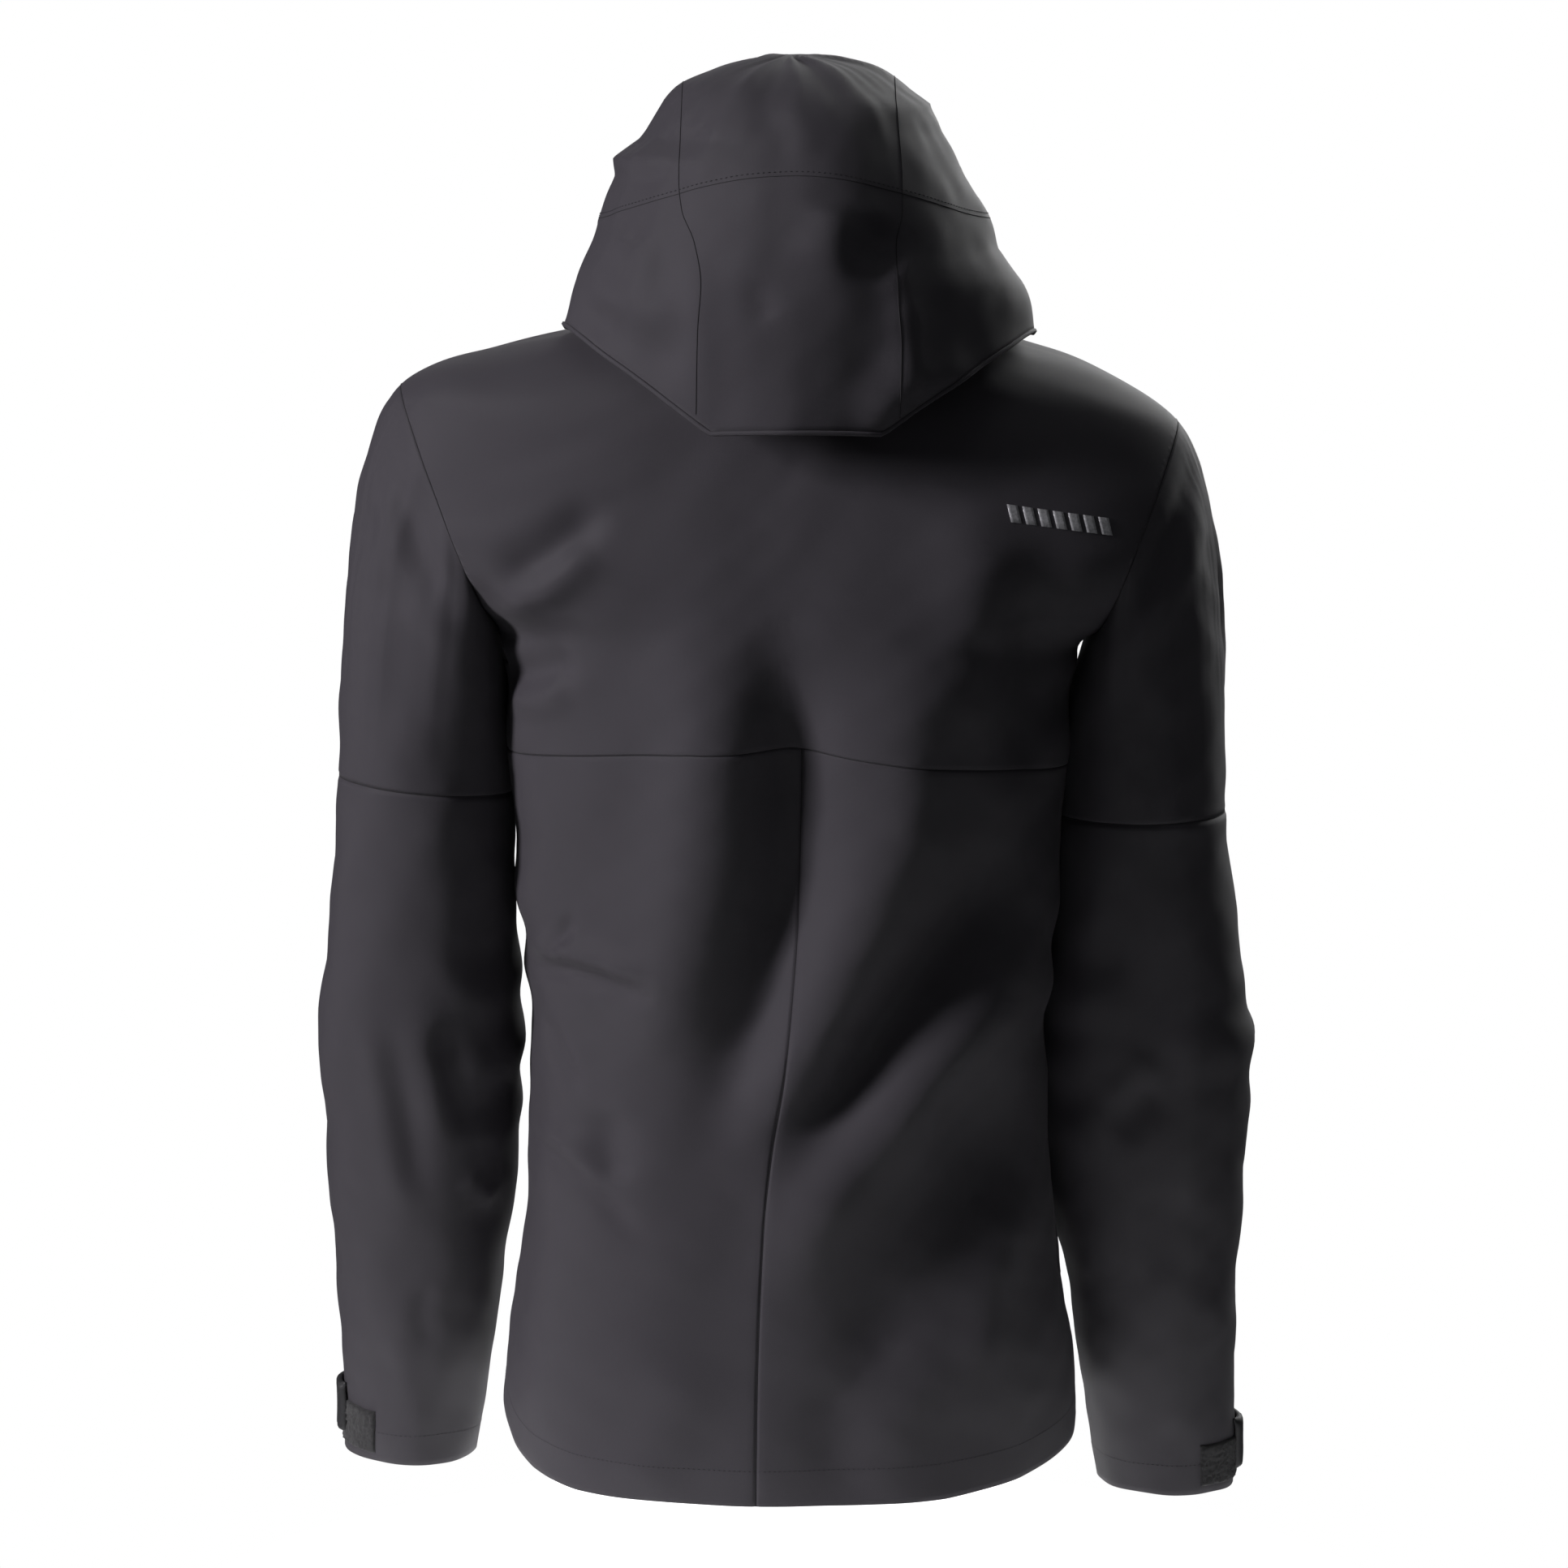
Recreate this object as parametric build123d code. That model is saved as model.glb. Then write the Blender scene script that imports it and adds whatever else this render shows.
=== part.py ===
"""Hooded hardshell jacket, filled out as if worn, with the front zip closed and the sleeves hanging.

Millimetres. The front faces -Y, the wearer's left is +X, and the origin is the hang loop at the centre back of
the neck. Cloth is modelled as thin curved walls, cut into the panels that the jacket is sewn from.
"""
from build123d import *
from functools import cache
from itertools import accumulate
from math import hypot, radians, sqrt, tan
import os

os.makedirs("parts", exist_ok=True)

# ---------------------------------------------------------------- driving dimensions
WALL = 2.0  # shell cloth, drawn thick enough to be a solid
MID_Y = -62.0  # the plane of the side seams, in front of the centre back neck
CHIN_Z = 34.0  # top of the closed front zip
NECK_Z = 8.0  # top of the shoulders, where the collar starts
HEM_Z = -740.0  # lowest point of the back hem
FRONT_CHIN_Y = MID_Y - 118.0  # the closed front is one straight line from here
FRONT_HEM_Y = MID_Y - 140.0  # to here at the hem
YOKE_SEAM_Z = -250.0
SLEEVE_SEAM_Z = -298.0
HEM_FACING = 25.0  # height of the folded hem
GAP = 1.0  # between two bodies that move past each other

# Torso rings up to the neck, shoulders included: height, half width, back of the ring behind MID_Y.
TORSO = [
    (HEM_Z - 5, 187, 150),
    (-690, 185, 147),
    (-600, 175, 138),
    (-450, 165, 124),
    (-300, 175, 131),
    (-215, 181, 136),
    (-190, 188, 136),
    (-165, 215, 134),
    (-140, 250, 130),
    (-115, 268, 123),
    (-90, 269, 115),
    (-62, 260, 104),
    (-50, 252, 99),
    (-40, 239, 93),
    (-23, 211, 81),
    (-7, 166, 67),
    (2, 130, 61),
    (NECK_Z, 86, 59),
]
# Sleeve rings, wearer's left: height, centre, half width, centre behind MID_Y, half depth.
SLEEVE = [
    (-90, 224, 42, -6, 48),
    (-115, 229, 47, -5, 62),
    (-145, 232, 49.5, -4, 70),
    (-207, 236, 50.5, -4, 72),
    (-298, 237, 54, -6, 67),
    (-380, 239, 58.5, -12, 63),
    (-455, 240, 61.5, -20, 61),
    (-530, 240.5, 58, -30, 59),
    (-610, 244, 52, -41, 56),
    (-690, 250, 47, -52, 53),
    (-745, 253, 44, -60, 50),
]
# Hood rings, tilted so that the back hangs lower: height, half width, centre behind MID_Y, half depth, tilt.
HOOD = [
    (3, 147, 20, 142, 21),
    (50, 133, 18, 139, 15),
    (100, 113, 11, 128, 9),
    (140, 88, 1, 110, 5),
    (163, 62, -6, 86, 3),
    (176, 36, -10, 56, 1),
    (181, 12, -11, 22, 0),
]
SHOULDER = (238.0, -88.0)  # x, z of the shoulder's turning axis, which runs along Y
SHOULDER_R = 46.0  # the sleeve head stays inside this circle, so it can turn in the armhole
# The line between armhole and sleeve below the sleeve head: height, x.
ARMHOLE = [
    (-88, 192), (-150, 190), (-185, 188.5), (-200, 185), (-215, 183.5), (-298, 179), (-380, 174.5),
    (-455, 171.5), (-530, 175), (-610, 183), (-700, 194), (-800, 205),
]
ELBOW = (MID_Y - 45.0, -455.0)  # y, z of the elbow's turning axis, which runs along X
ELBOW_BEND = 60.0
NAPE = (2.0, -2.0)  # y, z of the axis that the hood tips back about

ZIP_TAPE_W = 14.0
ZIP_TAPE_T = 0.8
ZIP_INSET = 4.2  # how far the front zip's tape lies behind the front surface
POCKET_BAG_INSET = 7.0
FRONT_GAP = 12.0  # half the width between the front panels' edges

SIDES = {"left": 1, "right": -1}  # the wearer's sides
BIG = 900.0


# ---------------------------------------------------------------- helpers
def block(x, y, z):
    """A box from its low and high limits along each axis."""
    size = [high - low for low, high in (x, y, z)]
    centre = [(high + low) / 2 for low, high in (x, y, z)]
    return Pos(*centre) * Box(*size)


def resample(table, count):
    """Rows evenly spaced along the outline, on smooth curves through the table that never overshoot."""
    steps = [hypot(b[0] - a[0], b[1] - a[1]) for a, b in zip(table, table[1:])]
    knots = [0, *accumulate(steps)]
    columns = list(zip(*table))
    slopes = []
    for column in columns:
        chords = [(b - a) / step for a, b, step in zip(column, column[1:], steps)]
        inner = [2 * p * q / (p + q) if p * q > 0 else 0 for p, q in zip(chords, chords[1:])]
        slopes.append([chords[0], *inner, chords[-1]])
    rows = []
    for i in range(count):
        place = knots[-1] * i / (count - 1)
        k = max(j for j in range(len(steps)) if knots[j] <= place + 1e-9)
        t = (place - knots[k]) / steps[k]
        row = []
        for column, slope in zip(columns, slopes):
            keep = (1 + 2 * t) * (1 - t) ** 2 * column[k] + t * t * (3 - 2 * t) * column[k + 1]
            bend = t * (1 - t) ** 2 * slope[k] - t * t * (1 - t) * slope[k + 1]
            row.append(keep + bend * steps[k])
        rows.append(row)
    return rows


def front_y(z):
    """The straight line of the closed front."""
    return FRONT_CHIN_Y + (FRONT_HEM_Y - FRONT_CHIN_Y) * (CHIN_Z - z) / (CHIN_Z - HEM_Z)


def settle(z, low, high):
    """0 below one height, 1 above another: how far an inner surface drops instead of shrinking."""
    return min(1, max(0, (z - low) / (high - low)))


@cache
def torso_solid(inset=0.0):
    """The torso and shoulders filled in, made smaller all round by an inset."""
    rings = []
    for z, half_width, back in resample(TORSO, 30):
        front, rear = front_y(z) + inset, MID_Y + back - inset
        ring = Rot(Z=-90) * Ellipse((rear - front) / 2, half_width - inset)
        rings.append(Pos(0, (front + rear) / 2, z - inset * settle(z, -100, -40)) * ring)
    return loft(rings)


@cache
def sleeve_tube(inset=0.0):
    """The left sleeve from the shoulder to the cuff, filled in."""
    rings = []
    for z, centre, half_width, y, half_depth in resample(SLEEVE, 14):
        rings.append(Pos(centre, MID_Y + y, z) * Ellipse(half_width - inset, half_depth - inset))
    return loft(rings)


@cache
def hood_solid(inset=0.0):
    """The hood filled in."""
    rings = []
    for z, half_width, y, half_depth, tilt in resample(HOOD, 12):
        place = Pos(0, MID_Y + y, z - inset * settle(z, 90, 150)) * Rot(X=-tilt)
        rings.append(place * Ellipse(half_width - inset, half_depth - inset))
    return loft(rings)


def torso_layer(outer, inner):
    """A layer of cloth between two insets of the torso."""
    return torso_solid(outer) - torso_solid(inner)


def hem_cutter(lift=0.0):
    """Everything below the hem, which drops from the sides to the back."""
    low, front, back = HEM_Z - 60, MID_Y - 200, MID_Y + 200
    line = Spline(
        (front, -704 + lift),
        (MID_Y - 60, -694 + lift),
        (MID_Y + 20, -692 + lift),
        (MID_Y + 95, -722 + lift),
        (MID_Y + 150, HEM_Z + lift),
        (back, HEM_Z - 8 + lift),
    )
    edges = [line, Polyline(line @ 1, (back, low), (front, low), line @ 0)]
    return extrude(Plane.YZ * make_face(edges), 260, both=True)


def sleeve_zone(grow=0.0):
    """Everything on the sleeve's side of the left armhole."""
    x, z = SHOULDER
    line = [(edge_x - grow, edge_z) for edge_z, edge_x in ARMHOLE]
    below = extrude(Plane.XZ * make_face(Polyline(*line, (BIG, -800), (BIG, z), close=True)), BIG, both=True)
    head = Pos(x, 0, z) * Rot(X=90) * Cylinder(SHOULDER_R + grow, 2 * BIG)
    return below + head


def elbow_wedge():
    """The room in front of the elbow's axis that the bent forearm needs."""
    y, z = ELBOW
    reach = 90.0
    rise = reach * tan(radians(ELBOW_BEND / 2 + 1))
    corner = Polyline((y, z), (y - reach, z + rise), (y - reach, z - rise), close=True)
    return extrude(Plane.YZ * make_face(corner), 400, both=True)


def surface_point(x, z):
    """A point on the torso's front, and the outward direction there."""
    below, above = max(r for r in TORSO if r[0] <= z), min(r for r in TORSO if r[0] > z)
    share = (z - below[0]) / (above[0] - below[0])
    half_width = below[1] + share * (above[1] - below[1])
    rear = MID_Y + below[2] + share * (above[2] - below[2])
    half_depth = (rear - front_y(z)) / 2
    mid = (rear + front_y(z)) / 2
    y = mid - half_depth * sqrt(1 - (x / half_width) ** 2)
    normal = Vector(x / half_width**2, (y - mid) / half_depth**2, 0).normalized()
    return Vector(x, y, z), normal


def for_side(shape, side):
    """A left-hand shape, or its right-hand twin."""
    return shape if SIDES[side] > 0 else mirror(shape, Plane.YZ)


def save(name, *shapes):
    """Writes one node; several solids make a group."""
    solids = [solid for shape in shapes for solid in shape.solids()]
    export_step(solids[0] if len(solids) == 1 else Compound(children=solids), f"parts/{name}.step")


# ---------------------------------------------------------------- zips
def zip_pieces(length):
    """A waterproof zip in its own frame: +Y up along it, +Z outward, its top end at the origin."""
    tapes, chains = [], []
    for side in (1, -1):
        inner, outer = sorted((side * 0.6, side * ZIP_TAPE_W))
        tapes.append(block((inner, outer), (-length, 0), (-ZIP_TAPE_T, 0)))
        inner, outer = sorted((side * 0.6, side * 3.0))
        chains.append(block((inner, outer), (-length, -4), (-2.2, -ZIP_TAPE_T)))
    return tapes, chains


def zip_slider():
    """Two plates joined by a web that runs between the coils, with two lugs and a pin for the pull."""
    front = fillet(block((-4.5, 4.5), (-12, 0), (0.4, 1.8)).edges().filter_by(Axis.Z), 2.5)
    back = block((-4.5, 4.5), (-12, 0), (-4.0, -2.6))
    web = block((-0.3, 0.3), (-6, -1), (-2.8, 0.6))
    lugs = [block((x - 0.5, x + 0.5), (-5.2, -2.8), (1.6, 5.2)) for x in (-2.6, 2.6)]
    pin = Pos(0, -4, 4.2) * Rot(Y=90) * Cylinder(0.8, 6.2)
    return front + back + web + lugs[0] + lugs[1] + pin


def zip_pull(length=36.0):
    """A moulded tab that hangs from the slider's pin."""
    eye = Pos(0, -4, 4.2) * Rot(Y=90) * Cylinder(1.7, 3.6)
    tab = block((-1.6, 1.6), (-12, -4), (3.4, 5.0))
    grip = fillet(block((-3.4, 3.4), (-length, -10), (3.2, 5.4)).edges().filter_by(Axis.Z), 2.2)
    bore = Pos(0, -4, 4.2) * Rot(Y=90) * Cylinder(0.9, 8)
    return eye + tab + grip - bore


def pocket(name, plane, length):
    """A welted pocket zip on the shell. Returns the block that it needs cut out of the panel."""
    tapes, chains = zip_pieces(length)
    place = Location(plane)
    edge, end = 9.0, 8.0
    frame_plate = block((-edge, edge), (-length - end, end), (-0.4, 1.0))
    slot = block((-5.6, 5.6), (-length, 0), (-1, 2))
    welt = fillet(frame_plate.edges().filter_by(Axis.Z), 4) - slot
    trimmed = [t & block((-5.2, 5.2), (-length + 0.4, -0.4), (-2, 1)) for t in tapes]
    save(f"{name}_welt", place * welt)
    save(f"{name}_zip", *[place * piece for piece in (*trimmed, *chains)])
    save(f"{name}_slider", place * Pos(0, -2, 0) * zip_slider())
    save(f"{name}_pull", place * Pos(0, -2, 0) * zip_pull(30))
    return place * block((-edge, edge), (-length - end, end), (-12, 12))


def along(start, end, outward):
    """A zip's frame: origin at its top, +Y pointing up along it, +Z outward."""
    up = (start - end).normalized()
    side = up.cross(outward).normalized()
    return Plane(origin=start, x_dir=side, z_dir=side.cross(up))


# ---------------------------------------------------------------- torso panels
def make_pockets():
    """The chest pocket and two hand pockets. Returns the blocks to cut out of each front panel."""
    holes = {"left": [], "right": []}
    for name, side, top, bottom in (
        ("chest_pocket", "left", (86, -185), (96, -315)),
        ("hand_pocket_left", "left", (112, -440), (134, -590)),
        ("hand_pocket_right", "right", (112, -440), (134, -590)),
    ):
        (start, out_a), (end, out_b) = surface_point(*top), surface_point(*bottom)
        points = [Vector(v.X * SIDES[side], v.Y, v.Z) for v in (start, end, out_a + out_b)]
        holes[side].append(pocket(name, along(*points), (start - end).length))
    return holes


def make_torso():
    neck = Pos(0, (front_y(NECK_Z) + MID_Y + 59) / 2, NECK_Z - 5) * extrude(Ellipse(84.9, 87.3), 12)
    outer = torso_solid() + sleeve_tube()
    inner = torso_solid(WALL) + sleeve_tube(WALL)
    shell = (outer - inner - neck) & block((0, BIG), (-BIG, BIG), (-BIG, BIG))
    sleeve = shell & sleeve_zone()
    half = shell - sleeve_zone(GAP) - hem_cutter()

    back = half & block((0, BIG), (MID_Y, BIG), (-BIG, BIG))
    yoke = back & block((0, BIG), (-BIG, BIG), (YOKE_SEAM_Z, BIG))
    lower = back & block((0, BIG), (-BIG, BIG), (-BIG, YOKE_SEAM_Z))
    save("back_yoke", yoke + mirror(yoke, Plane.YZ))
    holes = make_pockets()
    front = half & block((FRONT_GAP, BIG), (-BIG, MID_Y), (-BIG, BIG))
    for side in SIDES:
        save(f"back_panel_{side}", for_side(lower, side))
        panel = for_side(front, side)
        for hole in holes[side]:
            panel -= hole
        save(f"front_panel_{side}", panel)

    facing = torso_layer(WALL, WALL + 1.2) & block((-BIG, BIG), (-BIG, BIG), (-BIG, -620))
    facing = (facing - hem_cutter()) & hem_cutter(HEM_FACING)
    save("hem_facing", facing - block((-24, 24), (-BIG, MID_Y), (-BIG, BIG)))

    bag_layer = torso_layer(POCKET_BAG_INSET, POCKET_BAG_INSET + 1)
    hand_bag = bag_layer & block((58, 150), (-BIG, MID_Y - 20), (-640, -425))
    save("chest_pocket_bag", bag_layer & block((40, 128), (-BIG, MID_Y - 20), (-335, -180)))
    for side in SIDES:
        save(f"hand_pocket_bag_{side}", for_side(hand_bag, side))
    transfer = torso_layer(-0.9, -0.1)
    save("shoulder_transfer", transfer & block((-172, -104), (MID_Y, 200), (-132, -116)))
    return sleeve


def make_collar():
    """The stand-up collar inside the hood, open at the front where the zip runs up it."""
    def filled(inset):
        rings = []
        for z, half_width, back in ((NECK_Z + 0.2, 86, 59), (CHIN_Z - 6, 84, 58), (CHIN_Z + 2, 85, 58)):
            front, rear = front_y(z) + inset, MID_Y + back - inset
            ring = Rot(Z=-90) * Ellipse((rear - front) / 2, half_width - inset)
            rings.append(Pos(0, (front + rear) / 2, z) * ring)
        return loft(rings)

    ring = filled(0) - filled(WALL) - block((-FRONT_GAP, FRONT_GAP), (-400, MID_Y), (-10, 100))
    slope = Polyline((-400, CHIN_Z), (FRONT_CHIN_Y + 50, CHIN_Z), (10, 22), (10, 90), (-400, 90), close=True)
    save("collar", ring - extrude(Plane.YZ * make_face(slope), 200, both=True))

    arch = SlotOverall(52, 16) - SlotOverall(48, 12)
    save("hang_loop", Pos(0, -12.5, 2) * extrude(Plane.XZ * arch, 1.5, both=True))


def make_front_zip():
    start = Vector(0, front_y(CHIN_Z) + ZIP_INSET, CHIN_Z)
    end = Vector(0, front_y(-698) + ZIP_INSET, -698)
    place = Location(along(start, end, Vector(0, -1, 0)))
    length = (start - end).length
    tapes, chains = zip_pieces(length)
    for i, side in enumerate(SIDES):
        save(f"front_zip_tape_{side}", place * tapes[i])
        save(f"front_zip_coil_{side}", place * chains[i])
    save("front_zip_slider", place * Pos(0, -3, 0) * zip_slider())
    save("front_zip_pull", place * Pos(0, -3, 0) * zip_pull())
    save("front_zip_retainer_box", place * block((-5, 5), (-length - 12, -length - 0.2), (-3.4, 0.8)))
    save("storm_flap", place * block((-17, 17), (-length, 2), (-6.6, -5.6)))
    guard = block((-17, 17), (0.4, 11), (-2.6, -1.4)) + block((-17, 17), (9.6, 11), (-2.6, 0))
    for low, high in ((-17, -1), (1, 17)):
        guard += block((low, high), (3, 11), (-1.6, 0))
    save("chin_guard", place * guard)


# ---------------------------------------------------------------- sleeves
def make_sleeves(sleeve):
    upper_arm = (sleeve & block((0, BIG), (-BIG, BIG), (ELBOW[1] + GAP / 2, BIG))) - elbow_wedge()
    forearm = (sleeve & block((0, BIG), (-BIG, BIG), (-BIG, ELBOW[1] - GAP / 2))) - elbow_wedge()
    panel = upper_arm & block((0, BIG), (-BIG, BIG), (SLEEVE_SEAM_Z, BIG))
    elbow_panel = upper_arm & block((0, BIG), (-BIG, BIG), (-BIG, SLEEVE_SEAM_Z))

    z, centre, half_width, y, half_depth = SLEEVE[-1]
    tab_zone = block((centre + 6, centre + 60), (MID_Y + y - 60, MID_Y + y + 14), (-738, -700))
    patch_zone = block((centre - 12, centre + 42), (MID_Y + y + 22, MID_Y + y + 70), (-742, -714))
    tab = (sleeve_tube(-3.2) - sleeve_tube(-1.6)) & tab_zone
    patch = (sleeve_tube(-1.6) - sleeve_tube(-0.3)) & patch_zone

    for side in SIDES:
        save(f"sleeve_upper_{side}", for_side(panel, side))
        save(f"sleeve_elbow_{side}", for_side(elbow_panel, side))
        save(f"sleeve_forearm_{side}", for_side(forearm, side))
        save(f"cuff_tab_{side}", for_side(tab, side))
        save(f"cuff_loop_patch_{side}", for_side(patch, side))


# ---------------------------------------------------------------- hood
def make_hood():
    z, half_width, y, half_depth, tilt = HOOD[0]
    face = Pos(0, MID_Y - 240, 84) * Rot(X=90) * extrude(Ellipse(78, 62), 220, both=True)
    throat = block((-78, 78), (-BIG, MID_Y - 40), (-90, 84))
    half_room = block((0, BIG), (-BIG, BIG), (-BIG, BIG))
    cloth = ((hood_solid() - hood_solid(WALL)) & half_room) - face - throat

    seam_x = 70.0
    rear, fore = (MID_Y + 95, 108.0), (MID_Y - 220, -3.0)
    cross = Polyline(rear, fore, (fore[0], 400), (rear[0] + 200, 400), (rear[0] + 200, rear[1] + 70), close=True)
    ahead = extrude(Plane.YZ * make_face(cross), 300, both=True)
    centre = block((0, seam_x), (-BIG, BIG), (-BIG, BIG))
    for name, piece in (("rear", cloth - ahead), ("front", cloth & ahead)):
        half = piece & centre
        save(f"hood_centre_{name}", half + mirror(half, Plane.YZ))
        for side in SIDES:
            save(f"hood_side_{name}_{side}", for_side(piece - centre, side))

    # The underside runs from the rim fold in and up to the neck seam, round the back and both sides.
    neck_y, neck_z = -91.0, NECK_Z + 3 + 95 * tan(radians(11))
    rim = Pos(0, MID_Y + y, z + 1) * Rot(X=-tilt) * Ellipse(half_width - 6, half_depth - 6)
    neck = Pos(0, neck_y, neck_z) * Rot(X=-11) * Ellipse(93, 95)
    slanted = [side for side in loft([rim, neck], ruled=True).faces() if side.geom_type != GeomType.PLANE]
    left_half = thicken(max(slanted, key=lambda side: side.center().X), 1.6)
    save("hood_underside", left_half + mirror(left_half, Plane.YZ))

    brim = (hood_solid(WALL + 0.4) - hood_solid(WALL + 1.8)) - face
    save("hood_brim_stiffener", brim & block((-66, 66), (-BIG, MID_Y - 60), (118, 200)))


# ---------------------------------------------------------------- small hardware
def make_cord_locks():
    """Cord locks laminated into the hem: a round housing and the sprung button pressed into it."""
    for side in SIDES:
        spot, outward = surface_point(120, -676)
        spot, outward = (Vector(v.X * SIDES[side], v.Y, v.Z) for v in (spot, outward))
        place = Location(Plane(origin=spot, z_dir=outward))
        housing = Pos(0, 0, 2.6) * Cylinder(8, 3.6) - Pos(0, 0, 3.6) * Cylinder(4.9, 4)
        button = Pos(0, 0, 4.7) * Cylinder(4.5, 2.2)
        save(f"hem_cord_lock_housing_{side}", place * housing)
        save(f"hem_cord_lock_button_{side}", place * button)


make_sleeves(make_torso())
make_collar()
make_front_zip()
make_hood()
make_cord_locks()
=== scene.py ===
"""Looks for the hooded hardshell jacket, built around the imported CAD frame. Metres, front faces -Y."""
import math

import bmesh
import bpy
import numpy as np
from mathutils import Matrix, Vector


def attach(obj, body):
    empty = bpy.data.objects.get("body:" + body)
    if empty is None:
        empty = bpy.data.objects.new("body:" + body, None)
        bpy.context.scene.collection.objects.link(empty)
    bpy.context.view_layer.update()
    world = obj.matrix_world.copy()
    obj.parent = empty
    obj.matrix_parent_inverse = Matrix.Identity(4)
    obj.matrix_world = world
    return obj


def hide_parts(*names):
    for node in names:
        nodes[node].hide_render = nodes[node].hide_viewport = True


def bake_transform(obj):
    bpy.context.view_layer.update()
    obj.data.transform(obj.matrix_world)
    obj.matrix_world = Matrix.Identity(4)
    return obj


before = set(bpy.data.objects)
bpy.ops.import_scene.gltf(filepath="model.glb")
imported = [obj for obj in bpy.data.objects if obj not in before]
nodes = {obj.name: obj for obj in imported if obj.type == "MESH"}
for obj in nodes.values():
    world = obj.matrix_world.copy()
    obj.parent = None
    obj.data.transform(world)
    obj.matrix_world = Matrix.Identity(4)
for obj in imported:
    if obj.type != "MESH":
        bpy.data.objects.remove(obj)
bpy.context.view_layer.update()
rng = np.random.default_rng(7)
MM = 0.001
MID_Y = -62.0  # the plane of the side seams
FRONT_GAP = 12.0  # half the width between the front panels' edges
CHIN_Z, CHIN_Y = 34.0, MID_Y - 118.0  # the closed front is a straight line from here
HEM_Z, HEM_Y = -740.0, MID_Y - 140.0  # to here
YOKE_Z = -262.0
SIDES = {"left": 1, "right": -1}


# ---------------------------------------------------------------- shapes shared with the frame, in mm
# Torso rings: height, half width, back behind MID_Y, front ahead of MID_Y.
TORSO = np.array([
    (-745, 187, 150), (-690, 185, 147), (-600, 175, 138), (-450, 166, 124), (-300, 174, 131),
    (-215, 179, 136),
    (-190, 181, 136), (-165, 215, 134), (-140, 250, 130), (-115, 268, 123), (-90, 269, 115), (-62, 262, 104),
    (-46, 254, 99), (-33, 241, 93), (-17, 211, 81), (-2, 167, 67), (6, 131, 61), (11, 86, 59),
], float)
# Sleeve rings: height, inner edge, outer edge, centre behind MID_Y, half depth.
SLEEVES = {
    "left": np.array([
        (-207, 180, 286, -4, 72), (-290, 179, 291, -6, 67), (-380, 178, 298, -12, 63),
        (-455, 175, 306, -20, 61),
        (-530, 178, 304, -30, 59), (-610, 188, 300, -41, 56), (-690, 199, 297, -52, 53),
        (-749, 209, 297, -60, 50),
    ], float),
    "right": np.array([
        (-207, 186, 274, -4, 72), (-290, 172, 281, -6, 67), (-380, 166, 292, -12, 63),
        (-455, 160, 301, -20, 61),
        (-530, 166, 298, -30, 59), (-610, 183, 295, -41, 56), (-690, 195, 295, -52, 53),
        (-749, 205, 296, -60, 50),
    ], float),
}
# Hood rings: height, half width, centre behind MID_Y, half depth, tilt in degrees.
HOOD = np.array([
    (3, 147, 20, 142, 21), (50, 133, 18, 139, 15), (100, 113, 11, 128, 9), (140, 88, 1, 110, 5),
    (163, 69, -6, 86, 3), (176, 44, -10, 56, 1), (181.5, 15, -11, 22, 0), (182, 1, -11, 2, 0),
], float)
ARM_TOP = np.array([247.0, -42.0])  # x, z of the armhole's top and of its lowest point
ARM_LOW = np.array([188.5, -188.0])
SEAM_SLEEVE = -290.0
CUFF_Z = -749.0
CLOTH = 1.0


def hermite(knots, column, places):
    """A smooth curve through a table's column that never overshoots."""
    steps = np.diff(knots)
    chords = np.diff(column) / steps
    slopes = np.empty(len(knots))
    slopes[0], slopes[-1] = chords[0], chords[-1]
    product = chords[:-1] * chords[1:]
    total = chords[:-1] + chords[1:]
    slopes[1:-1] = np.where(product > 0, 2 * product / np.where(total == 0, 1, total), 0)
    k = np.clip(np.searchsorted(knots, places, side="right") - 1, 0, len(steps) - 1)
    t = (places - knots[k]) / steps[k]
    keep = (1 + 2 * t) * (1 - t) ** 2 * column[k] + t * t * (3 - 2 * t) * column[k + 1]
    bend = t * (1 - t) ** 2 * slopes[k] - t * t * (1 - t) * slopes[k + 1]
    return keep + bend * steps[k]


def outline(table):
    """How far along the table's outline each of its rows lies."""
    return np.concatenate([[0], np.cumsum(np.hypot(np.diff(table[:, 0]), np.diff(table[:, 1])))])


def rows_of(table, places):
    knots = outline(table)
    return np.stack([hermite(knots, table[:, c], places) for c in range(table.shape[1])], 1)


def smooth(value, low, high):
    t = np.clip((value - low) / (high - low), 0, 1)
    return t * t * (3 - 2 * t)


def front_y(z):
    return CHIN_Y + (HEM_Y - CHIN_Y) * (CHIN_Z - z) / (CHIN_Z - HEM_Z)


def power(value, exponent):
    return np.sign(value) * np.abs(value) ** exponent


# ---------------------------------------------------------------- folds
def stroke(px, pz, points, width, height):
    """The height at px, pz of a fold drawn along a line: positive is a ridge."""
    points = np.array(points, float)
    best = np.full(px.shape, 1e9)
    along = np.zeros(px.shape)
    lengths = np.hypot(*np.diff(points, axis=0).T)
    start = np.concatenate([[0], np.cumsum(lengths)])
    for i in range(len(points) - 1):
        d = points[i + 1] - points[i]
        t = np.clip(((px - points[i, 0]) * d[0] + (pz - points[i, 1]) * d[1]) / (d @ d), 0, 1)
        distance = np.hypot(px - points[i, 0] - t * d[0], pz - points[i, 1] - t * d[1])
        nearer = distance < best
        best = np.where(nearer, distance, best)
        along = np.where(nearer, start[i] + t * lengths[i], along)
    total = start[-1]
    taper = smooth(along, 0, 0.3 * total) * (1 - smooth(along, 0.7 * total, total))
    return height * (0.12 + 0.88 * taper) * np.exp(-0.5 * (best / width) ** 2)


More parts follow.
